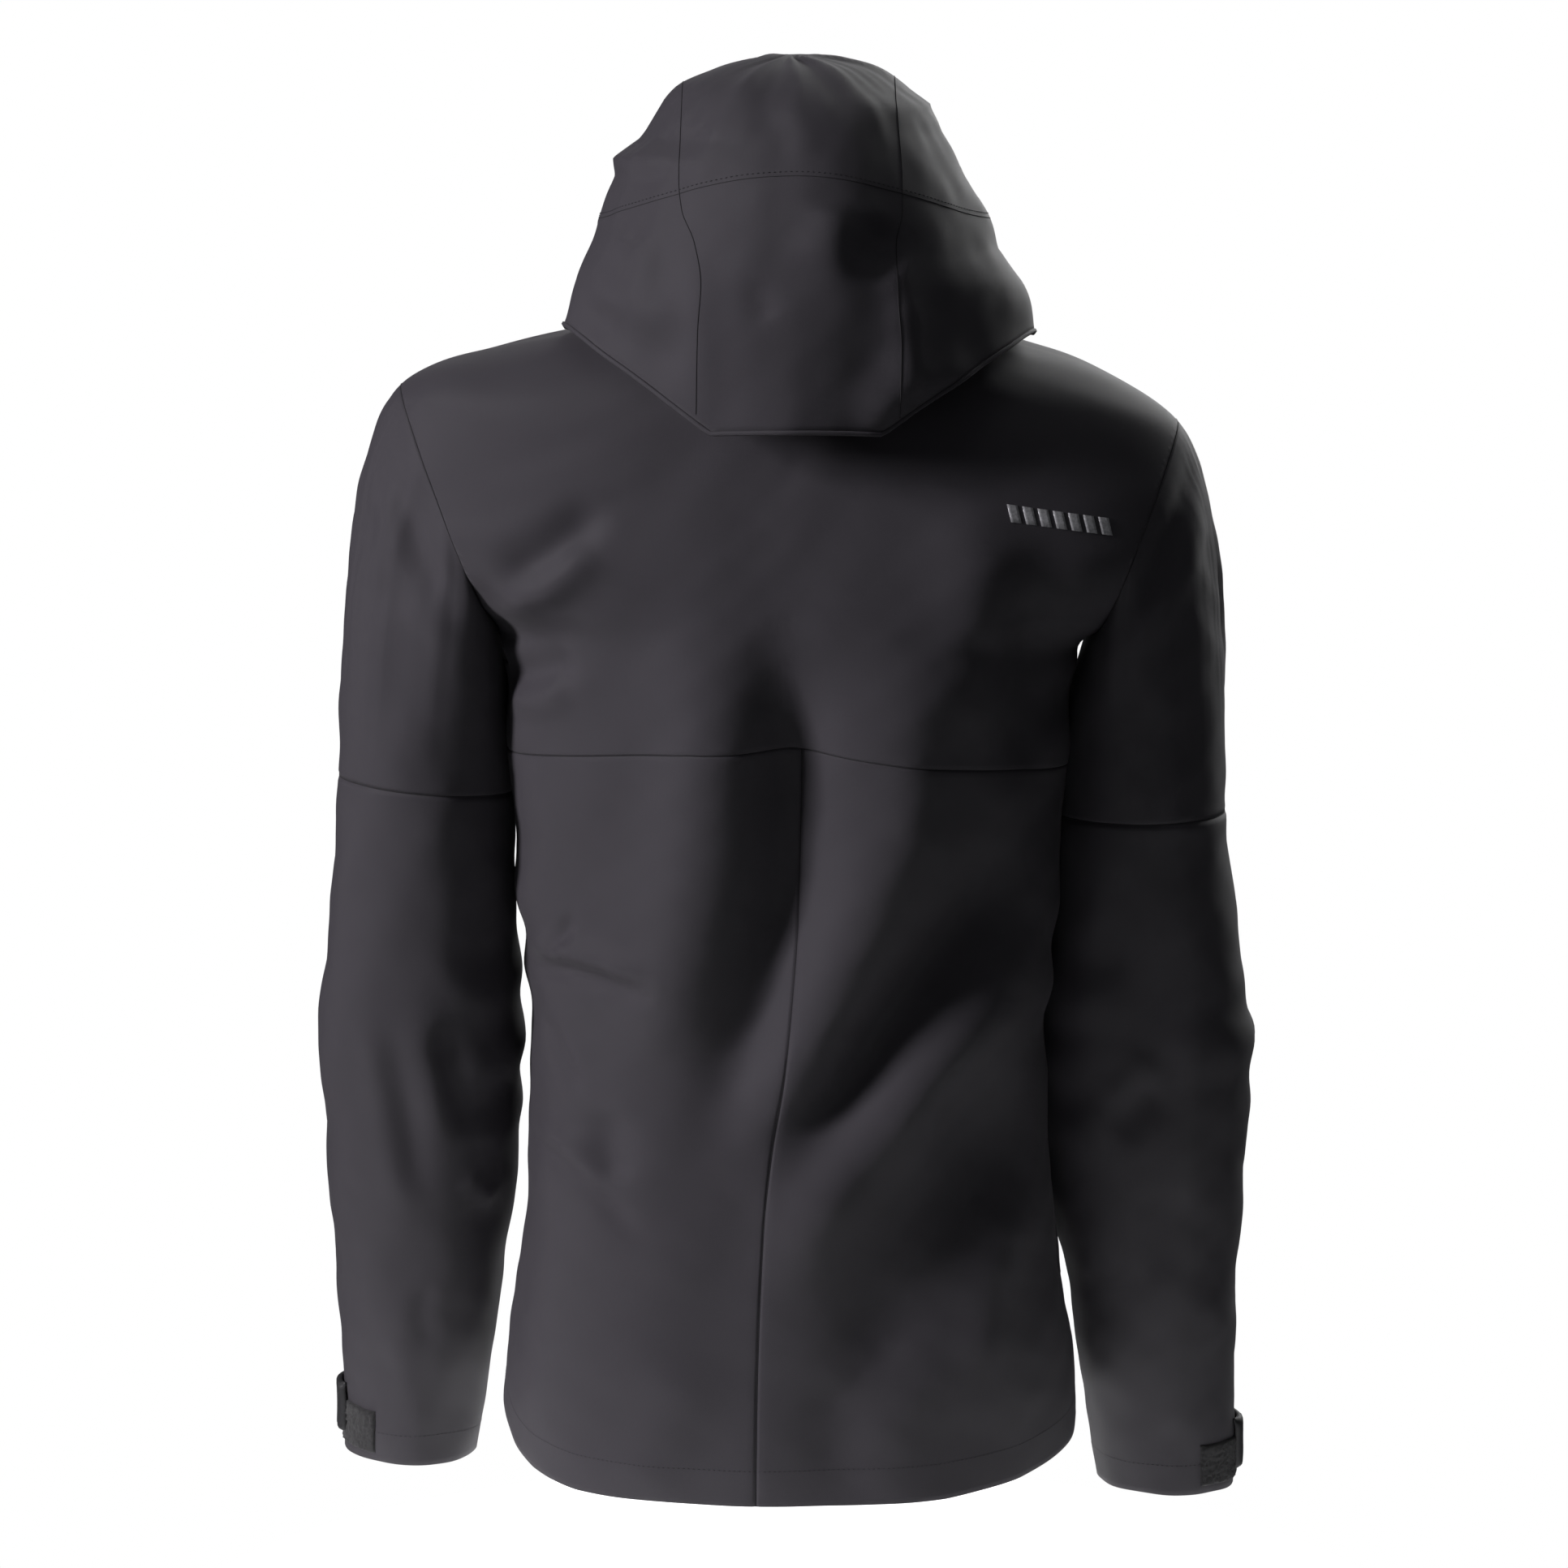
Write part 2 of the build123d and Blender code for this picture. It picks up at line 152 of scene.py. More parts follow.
def ripple(a, b, seed, scale, height):
    """Soft unevenness of cloth, from a few seeded waves in two directions."""
    waves = np.random.default_rng(seed)
    total = np.zeros(np.shape(a))
    for _ in range(14):
        angle = waves.uniform(0, math.pi)
        length = scale * waves.uniform(0.6, 2.2)
        phase = waves.uniform(0, 2 * math.pi)
        bend = 0.6 * np.sin((a * math.cos(angle + 1.3) + b * math.sin(angle + 1.3)) / (2.3 * length) + phase)
        total += np.sin((a * math.cos(angle) + b * math.sin(angle)) * 2 * math.pi / length + phase + bend)
    return height * total / math.sqrt(14)


FOLD_STRENGTH = 2.1
# Folds of the back: line as (x, z), half width, height.
BACK_FOLDS = [
    ([(42, -150), (50, -245), (60, -330), (78, -405), (100, -470)], 24, 7.5),
    ([(6, -150), (-4, -245), (0, -325), (16, -400), (42, -470), (62, -520)], 17, -7.5),
    ([(-60, -130), (-74, -225), (-70, -300), (-44, -365), (-12, -430), (18, -480), (40, -535)], 22, 8.0),
    ([(-160, -275), (-118, -350), (-80, -395), (-44, -450), (-12, -495), (20, -540)], 17, -7.5),
    ([(-165, -355), (-117, -420), (-80, -455), (-40, -505), (-12, -548), (14, -600)], 20, 7.0),
    ([(-165, -450), (-117, -505), (-80, -560), (-56, -615), (-50, -680)], 22, -5.0),
    ([(-115, -65), (-112, -160), (-108, -255)], 20, 3.5),
    ([(-160, -120), (-150, -200), (-150, -280)], 14, -4.0),
    ([(186, -150), (150, -128), (112, -95)], 9, -3.6),
    ([(186, -168), (150, -150), (118, -122)], 8, 3.0),
    ([(184, -212), (160, -206), (130, -196)], 7, -2.5),
    ([(184, -230), (162, -226), (135, -215)], 7, 2.2),
    ([(172, -388), (140, -385), (112, -388), (82, -396)], 6.5, 3.2),
    ([(172, -401), (142, -396), (114, -399), (80, -407)], 5, -3.6),
    ([(137, -358), (143, -375), (158, -392)], 3.2, -1.8),
    ([(160, -425), (148, -450), (134, -478)], 4, -1.6),
    ([(170, -508), (142, -520), (106, -548), (92, -560)], 5, -2.0),
    ([(168, -500), (145, -508), (112, -534)], 6, 1.8),
    ([(120, -478), (117, -505), (112, -530)], 10, -3.0),
    ([(-150, -520), (-130, -590), (-120, -660)], 14, 3.0),
    ([(60, -620), (80, -680), (95, -735)], 18, 2.0),
    ([(-20, -640), (-35, -690), (-45, -740)], 16, -2.0),
]
# The pocket zips' ends, as (x, z).
POCKETS = [((86, -185), (96, -315)), ((112, -440), (134, -590)), ((-112, -440), (-134, -590))]
# Folds of the front, lighter.
FRONT_FOLDS = [
    ([(180, -170), (150, -190), (120, -205)], 8, -3.0),
    ([(182, -195), (155, -214), (130, -226)], 8, 2.4),
    ([(-180, -160), (-150, -178), (-118, -190)], 8, -3.0),
    ([(-182, -190), (-152, -208), (-125, -222)], 8, 2.4),
    ([(50, -330), (80, -370), (150, -400)], 12, -3.0),
    ([(-50, -340), (-80, -378), (-150, -405)], 12, -3.0),
    ([(45, -300), (70, -345), (140, -375)], 12, 3.0),
    ([(-45, -310), (-70, -355), (-140, -385)], 12, 3.0),
    ([(60, -640), (70, -670), (75, -700)], 14, 2.0),
    ([(-60, -640), (-72, -670), (-80, -700)], 14, 2.0),
]


def tilt_pose(p):
    """The wearer's right side hangs a little lower than the left."""
    share = smooth(p[:, 1], -150, -60)
    share = share + (1 - share) * smooth(np.abs(p[:, 0]), 130, 225) * smooth(p[:, 2], -260, -160)
    out = p.copy()
    slope = 0.026 + 0.018 * smooth(np.abs(p[:, 0]), 170, 245)
    out[:, 2] += slope * p[:, 0] * share
    return out


# ---------------------------------------------------------------- mesh helpers
def grid_faces(rows, columns, closed):
    r, c = np.meshgrid(np.arange(rows - 1), np.arange(columns if closed else columns - 1), indexing="ij")
    right = (c + 1) % columns
    low, high = r * columns, (r + 1) * columns
    quads = np.stack([low + c, low + right, high + right, high + c], -1)
    return quads.reshape(-1, 4)


def normals_of(points):
    """Outward normals of a (rows, columns, 3) grid."""
    du = np.gradient(points, axis=1)
    dv = np.gradient(points, axis=0)
    n = np.cross(du, dv)
    return n / np.maximum(np.linalg.norm(n, axis=2, keepdims=True), 1e-9)

def ring_normals(points):
    """normals_of for a grid whose columns close into a ring."""
    return normals_of(np.concatenate([points[:, -1:], points, points[:, :1]], 1))[:, 1:-1]


def closed_line(ring):
    return np.concatenate([ring, ring[:1]])


def add(name, data):
    obj = bpy.data.objects.new(name, data)
    bpy.context.scene.collection.objects.link(obj)
    return obj


def make_mesh(name, points, faces, material):
    mesh = bpy.data.meshes.new(name)
    mesh.from_pydata((np.asarray(points) * MM).tolist(), [], [list(map(int, f)) for f in faces])
    mesh.validate()
    mesh.materials.append(material)
    mesh.shade_smooth()
    return add(name, mesh)


def thicken(obj, thickness):
    """Cloth thickness inward from the shown side."""
    modifier = obj.modifiers.new("cloth", "SOLIDIFY")
    modifier.thickness = thickness * MM
    modifier.offset = -1
    return modifier


def thicken_lined(obj, thickness):
    """Cloth thickness with the inner cloth's look on the hidden side."""
    obj.data.materials.append(INNER)
    modifier = thicken(obj, thickness)
    modifier.material_offset = 1
    modifier.material_offset_rim = 0


def tube(name, line, radius, material):
    """A thin round thread along points in mm."""
    curve = bpy.data.curves.new(name, "CURVE")
    curve.dimensions = "3D"
    curve.bevel_depth = radius * MM
    curve.bevel_resolution = 1
    spline = curve.splines.new("POLY")
    spline.points.add(len(line) - 1)
    for point, place in zip(spline.points, line):
        point.co = (*(np.asarray(place) * MM), 1)
    temp = add(name + "_line", curve)
    bpy.context.view_layer.update()
    mesh = bpy.data.meshes.new_from_object(temp)
    mesh.name = name
    mesh.materials.clear()
    mesh.materials.append(material)
    mesh.shade_smooth()
    bpy.data.objects.remove(temp)
    return add(name, mesh)


def stitches(name, line, normals, material, pitch=3.2, length=2.2, width=0.45, lift=0.25):
    """A row of short raised threads along a line on the cloth."""
    run = np.concatenate([[0], np.cumsum(np.linalg.norm(np.diff(line, axis=0), axis=1))])
    starts = np.arange(0, run[-1] - length, pitch)
    verts, faces = [], []
    for start in starts:
        ends = [np.array([np.interp(s, run, line[:, i]) for i in range(3)]) for s in (start, start + length)]
        n = np.array([np.interp(start + length / 2, run, normals[:, i]) for i in range(3)])
        n /= np.linalg.norm(n)
        d = ends[1] - ends[0]
        d /= np.linalg.norm(d)
        side = np.cross(d, n)
        base = len(verts)
        middle = (ends[0] + ends[1]) / 2
        for place, rise, half in ((ends[0], -0.1, 0.3), (middle, lift, 1.0), (ends[1], -0.1, 0.3)):
            for k in (-1, 1):
                verts.append(place + side * k * half * width / 2 + n * rise)
            verts.append(place + n * (rise + 0.2 * half))
        for k in (0, 3):
            a, b, c, d2, e, f = (base + k + j for j in range(6))
            faces += [(a, c, f, d2), (c, b, e, f), (b, a, d2, e)]
        faces += [(base, base + 1, base + 2), (base + 8, base + 7, base + 6)]
    return make_mesh(name, verts, faces, material)


# ---------------------------------------------------------------- materials
def new_material(name, base, roughness, metallic=0.0):
    material = bpy.data.materials.new(name)
    material.use_nodes = True
    tree = material.node_tree
    shader = tree.nodes["Principled BSDF"]
    shader.inputs["Roughness"].default_value = roughness
    shader.inputs["Metallic"].default_value = metallic
    shader.inputs["Base Color"].default_value = (*base, 1)
    return material, tree, shader


def node(tree, kind, **values):
    made = tree.nodes.new(kind)
    for key, value in values.items():
        if key in made.inputs:
            made.inputs[key].default_value = value
        else:
            setattr(made, key, value)
    return made


def colour_ramp(tree, factor, stops, socket):
    """Two colours with their positions, from a factor to a socket."""
    ramp = node(tree, "ShaderNodeValToRGB")
    for element, (position, colour) in zip(ramp.color_ramp.elements, stops):
        element.position = position
        element.color = (*colour, 1)
    tree.links.new(factor, ramp.inputs["Fac"])
    tree.links.new(ramp.outputs["Color"], socket)


def woven(name, dark, light, roughness, pitch, bump, sheen=0.0, mottle=0.35):
    """Plain weave: two crossed thread waves in object space, with slow colour mottling."""
    material, tree, shader = new_material(name, dark, roughness)
    links = tree.links
    place = node(tree, "ShaderNodeTexCoord")
    waves = []
    for direction in "XZ":
        wave = node(tree, "ShaderNodeTexWave", bands_direction=direction)
        wave.inputs["Scale"].default_value = 1.0 / pitch
        wave.inputs["Distortion"].default_value = 1.2
        wave.inputs["Detail"].default_value = 1.0
        wave.inputs["Detail Scale"].default_value = 2.0
        links.new(place.outputs["Object"], wave.inputs["Vector"])
        waves.append(wave)
    weave = node(tree, "ShaderNodeMath", operation="MULTIPLY")
    links.new(waves[0].outputs["Fac"], weave.inputs[0])
    links.new(waves[1].outputs["Fac"], weave.inputs[1])
    fine = node(tree, "ShaderNodeTexNoise", Scale=900.0, Detail=3.0, Roughness=0.7)
    slow = node(tree, "ShaderNodeTexNoise", Scale=9.0, Detail=4.0, Roughness=0.6)
    links.new(place.outputs["Object"], fine.inputs["Vector"])
    links.new(place.outputs["Object"], slow.inputs["Vector"])
    blend = node(tree, "ShaderNodeMath", operation="MULTIPLY_ADD")
    links.new(fine.outputs["Fac"], blend.inputs[0])
    blend.inputs[1].default_value = 0.55
    links.new(weave.outputs[0], blend.inputs[2])
    shade = node(tree, "ShaderNodeMath", operation="MULTIPLY_ADD")
    links.new(slow.outputs["Fac"], shade.inputs[0])
    shade.inputs[1].default_value = mottle
    links.new(blend.outputs[0], shade.inputs[2])
    colour_ramp(tree, shade.outputs[0], ((0.25, dark), (1.0, light)), shader.inputs["Base Color"])
    relief = node(tree, "ShaderNodeBump", Strength=bump, Distance=0.0004)
    links.new(blend.outputs[0], relief.inputs["Height"])
    links.new(relief.outputs["Normal"], shader.inputs["Normal"])
    shader.inputs["Sheen Weight"].default_value = sheen
    shader.inputs["Sheen Roughness"].default_value = 0.45
    return material


def moulded(name, base, roughness, grain=400.0, bump=0.25, metallic=0.0):
    material, tree, shader = new_material(name, base, roughness, metallic)
    place = node(tree, "ShaderNodeTexCoord")
    noise = node(tree, "ShaderNodeTexNoise", Scale=grain, Detail=4.0)
    tree.links.new(place.outputs["Object"], noise.inputs["Vector"])
    relief = node(tree, "ShaderNodeBump", Strength=bump, Distance=0.0002)
    tree.links.new(noise.outputs["Fac"], relief.inputs["Height"])
    tree.links.new(relief.outputs["Normal"], shader.inputs["Normal"])
    dark, light = [c * 0.8 for c in base], [min(1, c * 1.25) for c in base]
    colour_ramp(tree, noise.outputs["Fac"], ((0.35, dark), (0.7, light)), shader.inputs["Base Color"])
    return material


# Woven: dark colour, light colour, roughness, thread pitch in metres, relief.
# Moulded: colour, roughness, grain, relief, metal share.
SHELL = woven("shell_cloth", (0.021, 0.0185, 0.0245), (0.037, 0.0325, 0.043), 0.6, 0.0009, 0.5, sheen=0.08)
INNER = woven("inner_cloth", (0.020, 0.020, 0.022), (0.035, 0.035, 0.038), 0.7, 0.0012, 0.3)
FUZZ = woven("loop_pile", (0.004, 0.004, 0.005), (0.030, 0.029, 0.032), 0.95, 0.0018, 1.0, 0.2, 0.1)
FLEECE = woven("brushed_cloth", (0.018, 0.018, 0.020), (0.04, 0.04, 0.043), 0.95, 0.0025, 0.8, sheen=0.3)
THREAD = moulded("thread", (0.020, 0.018, 0.023), 0.8, 1500.0)
SEAM = moulded("seam_line", (0.011, 0.010, 0.0125), 0.9, 1500.0)
TAPE = woven("zip_tape", (0.010, 0.010, 0.011), (0.020, 0.020, 0.022), 0.55, 0.0008, 0.3)
COIL = moulded("zip_coil", (0.012, 0.012, 0.013), 0.45, 900.0)
METAL = moulded("painted_casting", (0.02, 0.02, 0.022), 0.35, 600.0, 0.15, 0.4)
RUBBER = moulded("moulded_rubber", (0.016, 0.016, 0.018), 0.6, 500.0)
FILM = moulded("reflective_film", (0.42, 0.42, 0.44), 0.38, 700.0, 0.1, 0.35)
PLASTIC = moulded("hard_plastic", (0.014, 0.014, 0.016), 0.4, 500.0)


# ---------------------------------------------------------------- torso
def torso_grid(places, angles):
    """Points of the torso for rows along the outline and columns round it, in mm."""
    rows = rows_of(TORSO, places)
    z, half_width, back = (rows[:, i][:, None] for i in range(3))
    ahead, behind = front_y(z), MID_Y + back
    mid, half_depth = (ahead + behind) / 2, (behind - ahead) / 2
    c, s = np.cos(angles)[None, :], np.sin(angles)[None, :]
    exponent = np.where(s > 0, 2 / 2.25, 1.0)
    x = half_width * power(c, exponent)
    y = mid + half_depth * power(s, exponent)
    # At the waist the cloth stands out behind the side, more so on the wearer's left.
    fuller = np.interp(z, [-560, -450, -330, -215, -190, -160], [0, 2, 7, 4, 3, 0])
    x = x + fuller * smooth(s, -0.6, 0.0) * np.abs(c) * np.where(c > 0, 1.0, -0.35)
    return np.stack([x, y, np.broadcast_to(z, x.shape)], 2)


def torso_height(p, n):
    """How far the folds lift the torso's cloth at points with given normals."""
    px, pz = p[..., 0], p[..., 2]
    back_share = smooth(n[..., 1], -0.15, 0.35)
    front_share = smooth(-n[..., 1], -0.1, 0.35)
    lift = np.zeros(px.shape)
    for fold in BACK_FOLDS:
        lift += FOLD_STRENGTH * back_share * stroke(px, pz, *fold)
    zip_free = smooth(np.abs(px), 18, 45)
    for fold in FRONT_FOLDS:
        lift += front_share * zip_free * stroke(px, pz, *fold)
    around = np.arctan2(p[..., 1] - MID_Y, px) * 170
    calm = np.where(n[..., 1] < -0.2, 0.5 * zip_free, 1.0)
    lift += calm * ripple(around, pz, 3, 95, 1.0) + calm * ripple(around, pz, 5, 38, 0.28)
    side = smooth(np.abs(px), 150, 178) * smooth(-pz, 170, 200) * (1 - smooth(-pz, 420, 520))
    lift += side * 2.2 * np.sin(pz / 11.5 + 1.5 * np.sin(pz / 31.0))
    for start, end in POCKETS:
        d = np.array(end) - np.array(start)
        t = np.clip(((px - start[0]) * d[0] + (pz - start[1]) * d[1]) / (d @ d), 0, 1)
        away = np.hypot(px - start[0] - t * d[0], pz - start[1] - t * d[1])
        lift *= np.where(n[..., 1] < 0, smooth(away, 16, 34), 1.0)
    return lift


def centre_back_shift(z):
    """How far the centre back seam has drifted to the wearer's left at each height."""
    depths = np.array([240, 264, 356, 408, 455, 497, 554, 668, 760], float)
    shifts = np.array([-7, -7, -5, -1, 4, 11, 17, 21, 22], float)
    return hermite(depths, shifts, np.clip(-z, depths[0], depths[-1]))


torso_length = outline(TORSO)[-1]


def place_of(z):
    """Where on the torso's outline a height lies."""
    fine = np.linspace(0, torso_length, 4000)
    heights = rows_of(TORSO, fine)[:, 0]
    return float(np.interp(z, heights, fine))


ROW_STEP = 4.2
HALF_COLUMNS = 131
SEAM_ROW = 1.3  # rows this close to a seam keep its groove narrow
SEAM_DEPTH = 0.7
yoke_place = place_of(YOKE_Z)
low = np.linspace(0, yoke_place, int(yoke_place / ROW_STEP))
high = np.linspace(yoke_place, torso_length, int((torso_length - yoke_place) / ROW_STEP))
places = np.unique(np.concatenate([low, high, [yoke_place - SEAM_ROW, yoke_place + SEAM_ROW]]))
yoke_row = int(np.argmin(np.abs(places - yoke_place)))
gap_angle = FRONT_GAP / 175.0
left_half = np.linspace(-math.pi / 2 + gap_angle, math.pi / 2, HALF_COLUMNS)
left_half = np.sort(np.concatenate([left_half, [math.pi / 2 - 0.008]]))
side_column = int(np.argmin(np.abs(left_half)))
left_half[side_column] = 0.0
angles = np.concatenate([left_half, (math.pi - left_half[:-1])[::-1]])
centre_column = len(left_half) - 1
side_columns = (side_column, len(angles) - 1 - side_column)
base = torso_grid(places, angles)
# The front edges run straight beside the zip, whatever the ring's width.
from_edge = np.minimum(angles + math.pi / 2, 1.5 * math.pi - angles)
near_edge = 1 - smooth(from_edge, gap_angle, 0.7)
base[..., 0] += np.sign(np.cos(angles)) * (FRONT_GAP - np.abs(base[:, :1, 0])) * near_edge[None, :]
# The centre back seam drifts: columns near it slide sideways along the back.
weight = smooth(np.sin(angles), 0.2, 1.0)[None, :] * smooth(-base[..., 2], 150, -YOKE_Z)
base[..., 0] += centre_back_shift(base[..., 2]) * weight
# The yoke seam rises towards the middle of the back.
seam_target = np.interp(base[..., 0], [-178, -60, 0, 60, 178], [-264, -251, -246, -248, -263])
window = np.exp(-0.5 * ((base[..., 2] - YOKE_Z) / 60) ** 2) * (np.sin(angles) > 0)[None, :]
base[..., 2] += window * (seam_target - YOKE_Z)
normal = normals_of(base)
# The hem: rows below the drop-tail line are pulled up onto it.
PULLED_BELOW = -560
behind = [-140, -60, 20, 95, 125, 150]
hem_line = np.interp(base[0, :, 1] - MID_Y, behind, [-704, -694, -692, -716, -722, -723])
scale = (hem_line - PULLED_BELOW) / (base[0, :, 2] - PULLED_BELOW)
pulled = PULLED_BELOW + (base[..., 2] - PULLED_BELOW) * scale
base[..., 2] = np.where(base[..., 2] < PULLED_BELOW, pulled, base[..., 2])
surface = base + normal * torso_height(base, normal)[..., None]
# Seams sink a little.
sink = np.zeros(surface.shape[:2])
back_columns = slice(side_columns[0], side_columns[1] + 1)
sink[yoke_row, back_columns] += SEAM_DEPTH
sink[:yoke_row, centre_column] += SEAM_DEPTH
surface -= normal * sink[..., None]
surface = tilt_pose(surface.reshape(-1, 3)).reshape(surface.shape)
surface_normal = normals_of(surface)
flat_surface = surface.reshape(-1, 3)
flat_normals = surface_normal.reshape(-1, 3)

rows_n, cols_n = surface.shape[:2]
arm_plane = ARM_TOP - ARM_LOW
arm_normal = np.array([arm_plane[1], -arm_plane[0]])
arm_normal /= np.linalg.norm(arm_normal)


def faces_where(bm, test):
    """Faces whose middle, in mm, passes a test, and the same with their corners and edges."""
    faces = [f for f in bm.faces if test(f.calc_center_median() / MM)]
    verts, edges = {v for f in faces for v in f.verts}, {e for f in faces for e in f.edges}
    return faces, list(verts) + list(edges) + faces


def cut_slot(bm, start, end):
    """The slot for a pocket zip, cut square to the cloth of the front."""
    first, last = Vector((start[0], 0, start[1])), Vector((end[0], 0, end[1]))
    length = (last - first).length
    run = (last - first).normalized()
    across = Vector((run.z, 0, -run.x))

    def close(spot, beside, beyond):
        away = (spot - first).dot(across)
        return spot.y < -90 and abs(away) < beside and -beyond < (spot - first).dot(run) < length + beyond

    for point, direction in ((first + across * 6.6, across), (first - across * 6.6, across),
                             (first - run * 5.5, run), (last + run * 5.5, run)):
        _, geom = faces_where(bm, lambda spot: close(spot, 26, 22))
        bmesh.ops.bisect_plane(bm, geom=geom, plane_co=point * MM, plane_no=direction)
    inside, _ = faces_where(bm, lambda spot: close(spot, 6.5, 5.4))
    bmesh.ops.delete(bm, geom=inside, context="FACES")


def cut_armhole(bm, k):
    """Cuts off the cloth outside the armhole's plane, and gives the cut edge's points in order, in mm."""
    top = Vector((ARM_TOP[0] * k, 0, ARM_TOP[1])) * MM
    top.z += 0.040 * ARM_TOP[0] * k * MM
    outward = Vector((arm_normal[0] * k, 0, arm_normal[1]))
    _, geom = faces_where(bm, lambda spot: spot.x * k > 120 and spot.z > -196)
    cut = bmesh.ops.bisect_plane(bm, geom=geom, plane_co=top, plane_no=outward, clear_outer=True)
    ring = {}
    for e in cut["geom_cut"]:
        if isinstance(e, bmesh.types.BMEdge):
            a, b = e.verts
            ring.setdefault(a, []).append(b)
            ring.setdefault(b, []).append(a)
    start = max(ring, key=lambda v: v.co.z)
    chain, previous, here = [start], None, start
    for _ in ring:
        onward = [v for v in ring[here] if v is not previous]
        if not onward or onward[0] is start:
            break
        previous, here = here, onward[0]
        chain.append(here)
    return np.array([tuple(v.co) for v in chain]) / MM


# The body's cloth is one mesh first, with each face marked with its panel, then five.
PANELS = ["back_panel_left", "back_panel_right", "back_yoke", "front_panel_left", "front_panel_right"]
bm = bmesh.new()
verts = [bm.verts.new(p) for p in (flat_surface * MM).tolist()]
layer = bm.faces.layers.int.new("panel")
for r in range(rows_n - 1):
    for c in range(cols_n - 1):
        corner = r * cols_n + c
        f = bm.faces.new([verts[i] for i in (corner, corner + 1, corner + cols_n + 1, corner + cols_n)])
        f.smooth = True
        right = 0 if c < centre_column else 1
        if side_columns[0] <= c < side_columns[1]:
            f[layer] = 2 if r >= yoke_row else right
        else:
            f[layer] = 3 + right
for start, end in POCKETS:
    cut_slot(bm, start, end)
loops = {side: cut_armhole(bm, k) for side, k in SIDES.items()}
for i, name in enumerate(PANELS):
    part = bm.copy()
    part_layer = part.faces.layers.int["panel"]
    bmesh.ops.delete(part, geom=[f for f in part.faces if f[part_layer] != i], context="FACES")
    mesh = bpy.data.meshes.new(name + "_cloth")
    part.to_mesh(mesh)
    part.free()
    mesh.materials.append(SHELL)
    obj = add(name + "_cloth", mesh)
    thicken_lined(obj, CLOTH)
    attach(obj, "torso")
    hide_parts(name)
bm.free()

# Seam threads: yoke seam and centre back seam.
seam_lines = {
    "yoke_seam": surface[yoke_row, side_columns[0]:side_columns[1] + 1],
    "centre_back_seam": surface[:yoke_row + 1, centre_column],
}
for name, line in seam_lines.items():
    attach(tube(name, line, 0.3, SEAM), "torso")

# Hem stitching.
hem_row = int(np.argmin(np.abs(places - 24)))
hem = stitches("hem_stitching", surface[hem_row], surface_normal[hem_row], THREAD, lift=0.15)
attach(hem, "torso")


# The front edges are folded in to meet the zip's tapes.
for side, k in SIDES.items():
    edge = surface[:, 0] if k > 0 else surface[:, -1]
    steps_in = [(0, 0, 0), (0, 1.6, 0), (0.3 * k, 3.2, 0), (2.0 * k, 4.4, 0), (12.0 * k, 4.6, 0)]
    strip = np.stack([edge + step for step in steps_in], 1)
    fold = make_mesh(f"front_edge_fold_{side}", strip.reshape(-1, 3), grid_faces(len(edge), 5, False), SHELL)
    thicken(fold, 0.5)
    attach(fold, "torso")

# The facing turned up inside the hem.
facing_rows = int(np.argmin(np.abs(places - 26)))
facing = surface[:facing_rows + 1] - surface_normal[:facing_rows + 1] * 1.5
facing_faces = grid_faces(facing_rows + 1, cols_n, False)
facing_piece = make_mesh("hem_facing_cloth", facing.reshape(-1, 3), facing_faces, INNER)
thicken(facing_piece, 0.8)
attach(facing_piece, "torso")
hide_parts("hem_facing")

# The plain reflective mark behind the wearer's right shoulder: a row of slanted bars.
back_only = (flat_normals[:, 1] > 0.2) & (flat_surface[:, 0] < -100) & (flat_surface[:, 2] > -170)
mark_points, mark_normals = flat_surface[back_only], flat_normals[back_only]
BARS, BAR_PITCH, BAR_WIDTH, BAR_HEIGHT, BAR_SLANT = 7, 9.6, 6.6, 10.5, 2.6
MARK_START, MARK_TOP, MARK_RISE = -137.0, -95.0, 0.16
BAR_ROWS, BAR_COLUMNS = 5, 4


def on_back(x, z, lift):
    """The point of the back's cloth behind x, z, raised a little, from the six nearest points of its grid."""
    gap = (mark_points[:, 0] - x) ** 2 + (mark_points[:, 2] - z) ** 2
    close = np.argsort(gap)[:6]
    weights = 1 / (gap[close] + 0.3)
    weights /= weights.sum()
    points, normals = mark_points[close], mark_normals[close]
    out = (normals * weights[:, None]).sum(0)
    offset = (x - points[:, 0]) * normals[:, 0] + (z - points[:, 2]) * normals[:, 2]
    y = np.dot(points[:, 1] - offset / normals[:, 1], weights)
    return np.array([x, float(y), z]) + out / np.linalg.norm(out) * lift


verts, faces = [], []
for bar in range(BARS):
    first = len(verts)
    for u in np.linspace(0, 1, BAR_ROWS):
        for v in np.linspace(0, 1, BAR_COLUMNS):
            x = MARK_START - bar * BAR_PITCH - BAR_WIDTH * u + BAR_SLANT * v
            z = MARK_TOP - BAR_HEIGHT * (1 - v) + MARK_RISE * (x - MARK_START)
            verts.append(on_back(x, z, 0.45))
    faces += (grid_faces(BAR_ROWS, BAR_COLUMNS, False)[:, ::-1] + first).tolist()
mark = make_mesh("shoulder_mark", verts, faces, FILM)
thicken(mark, 0.35)
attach(mark, "torso")
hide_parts("shoulder_transfer")


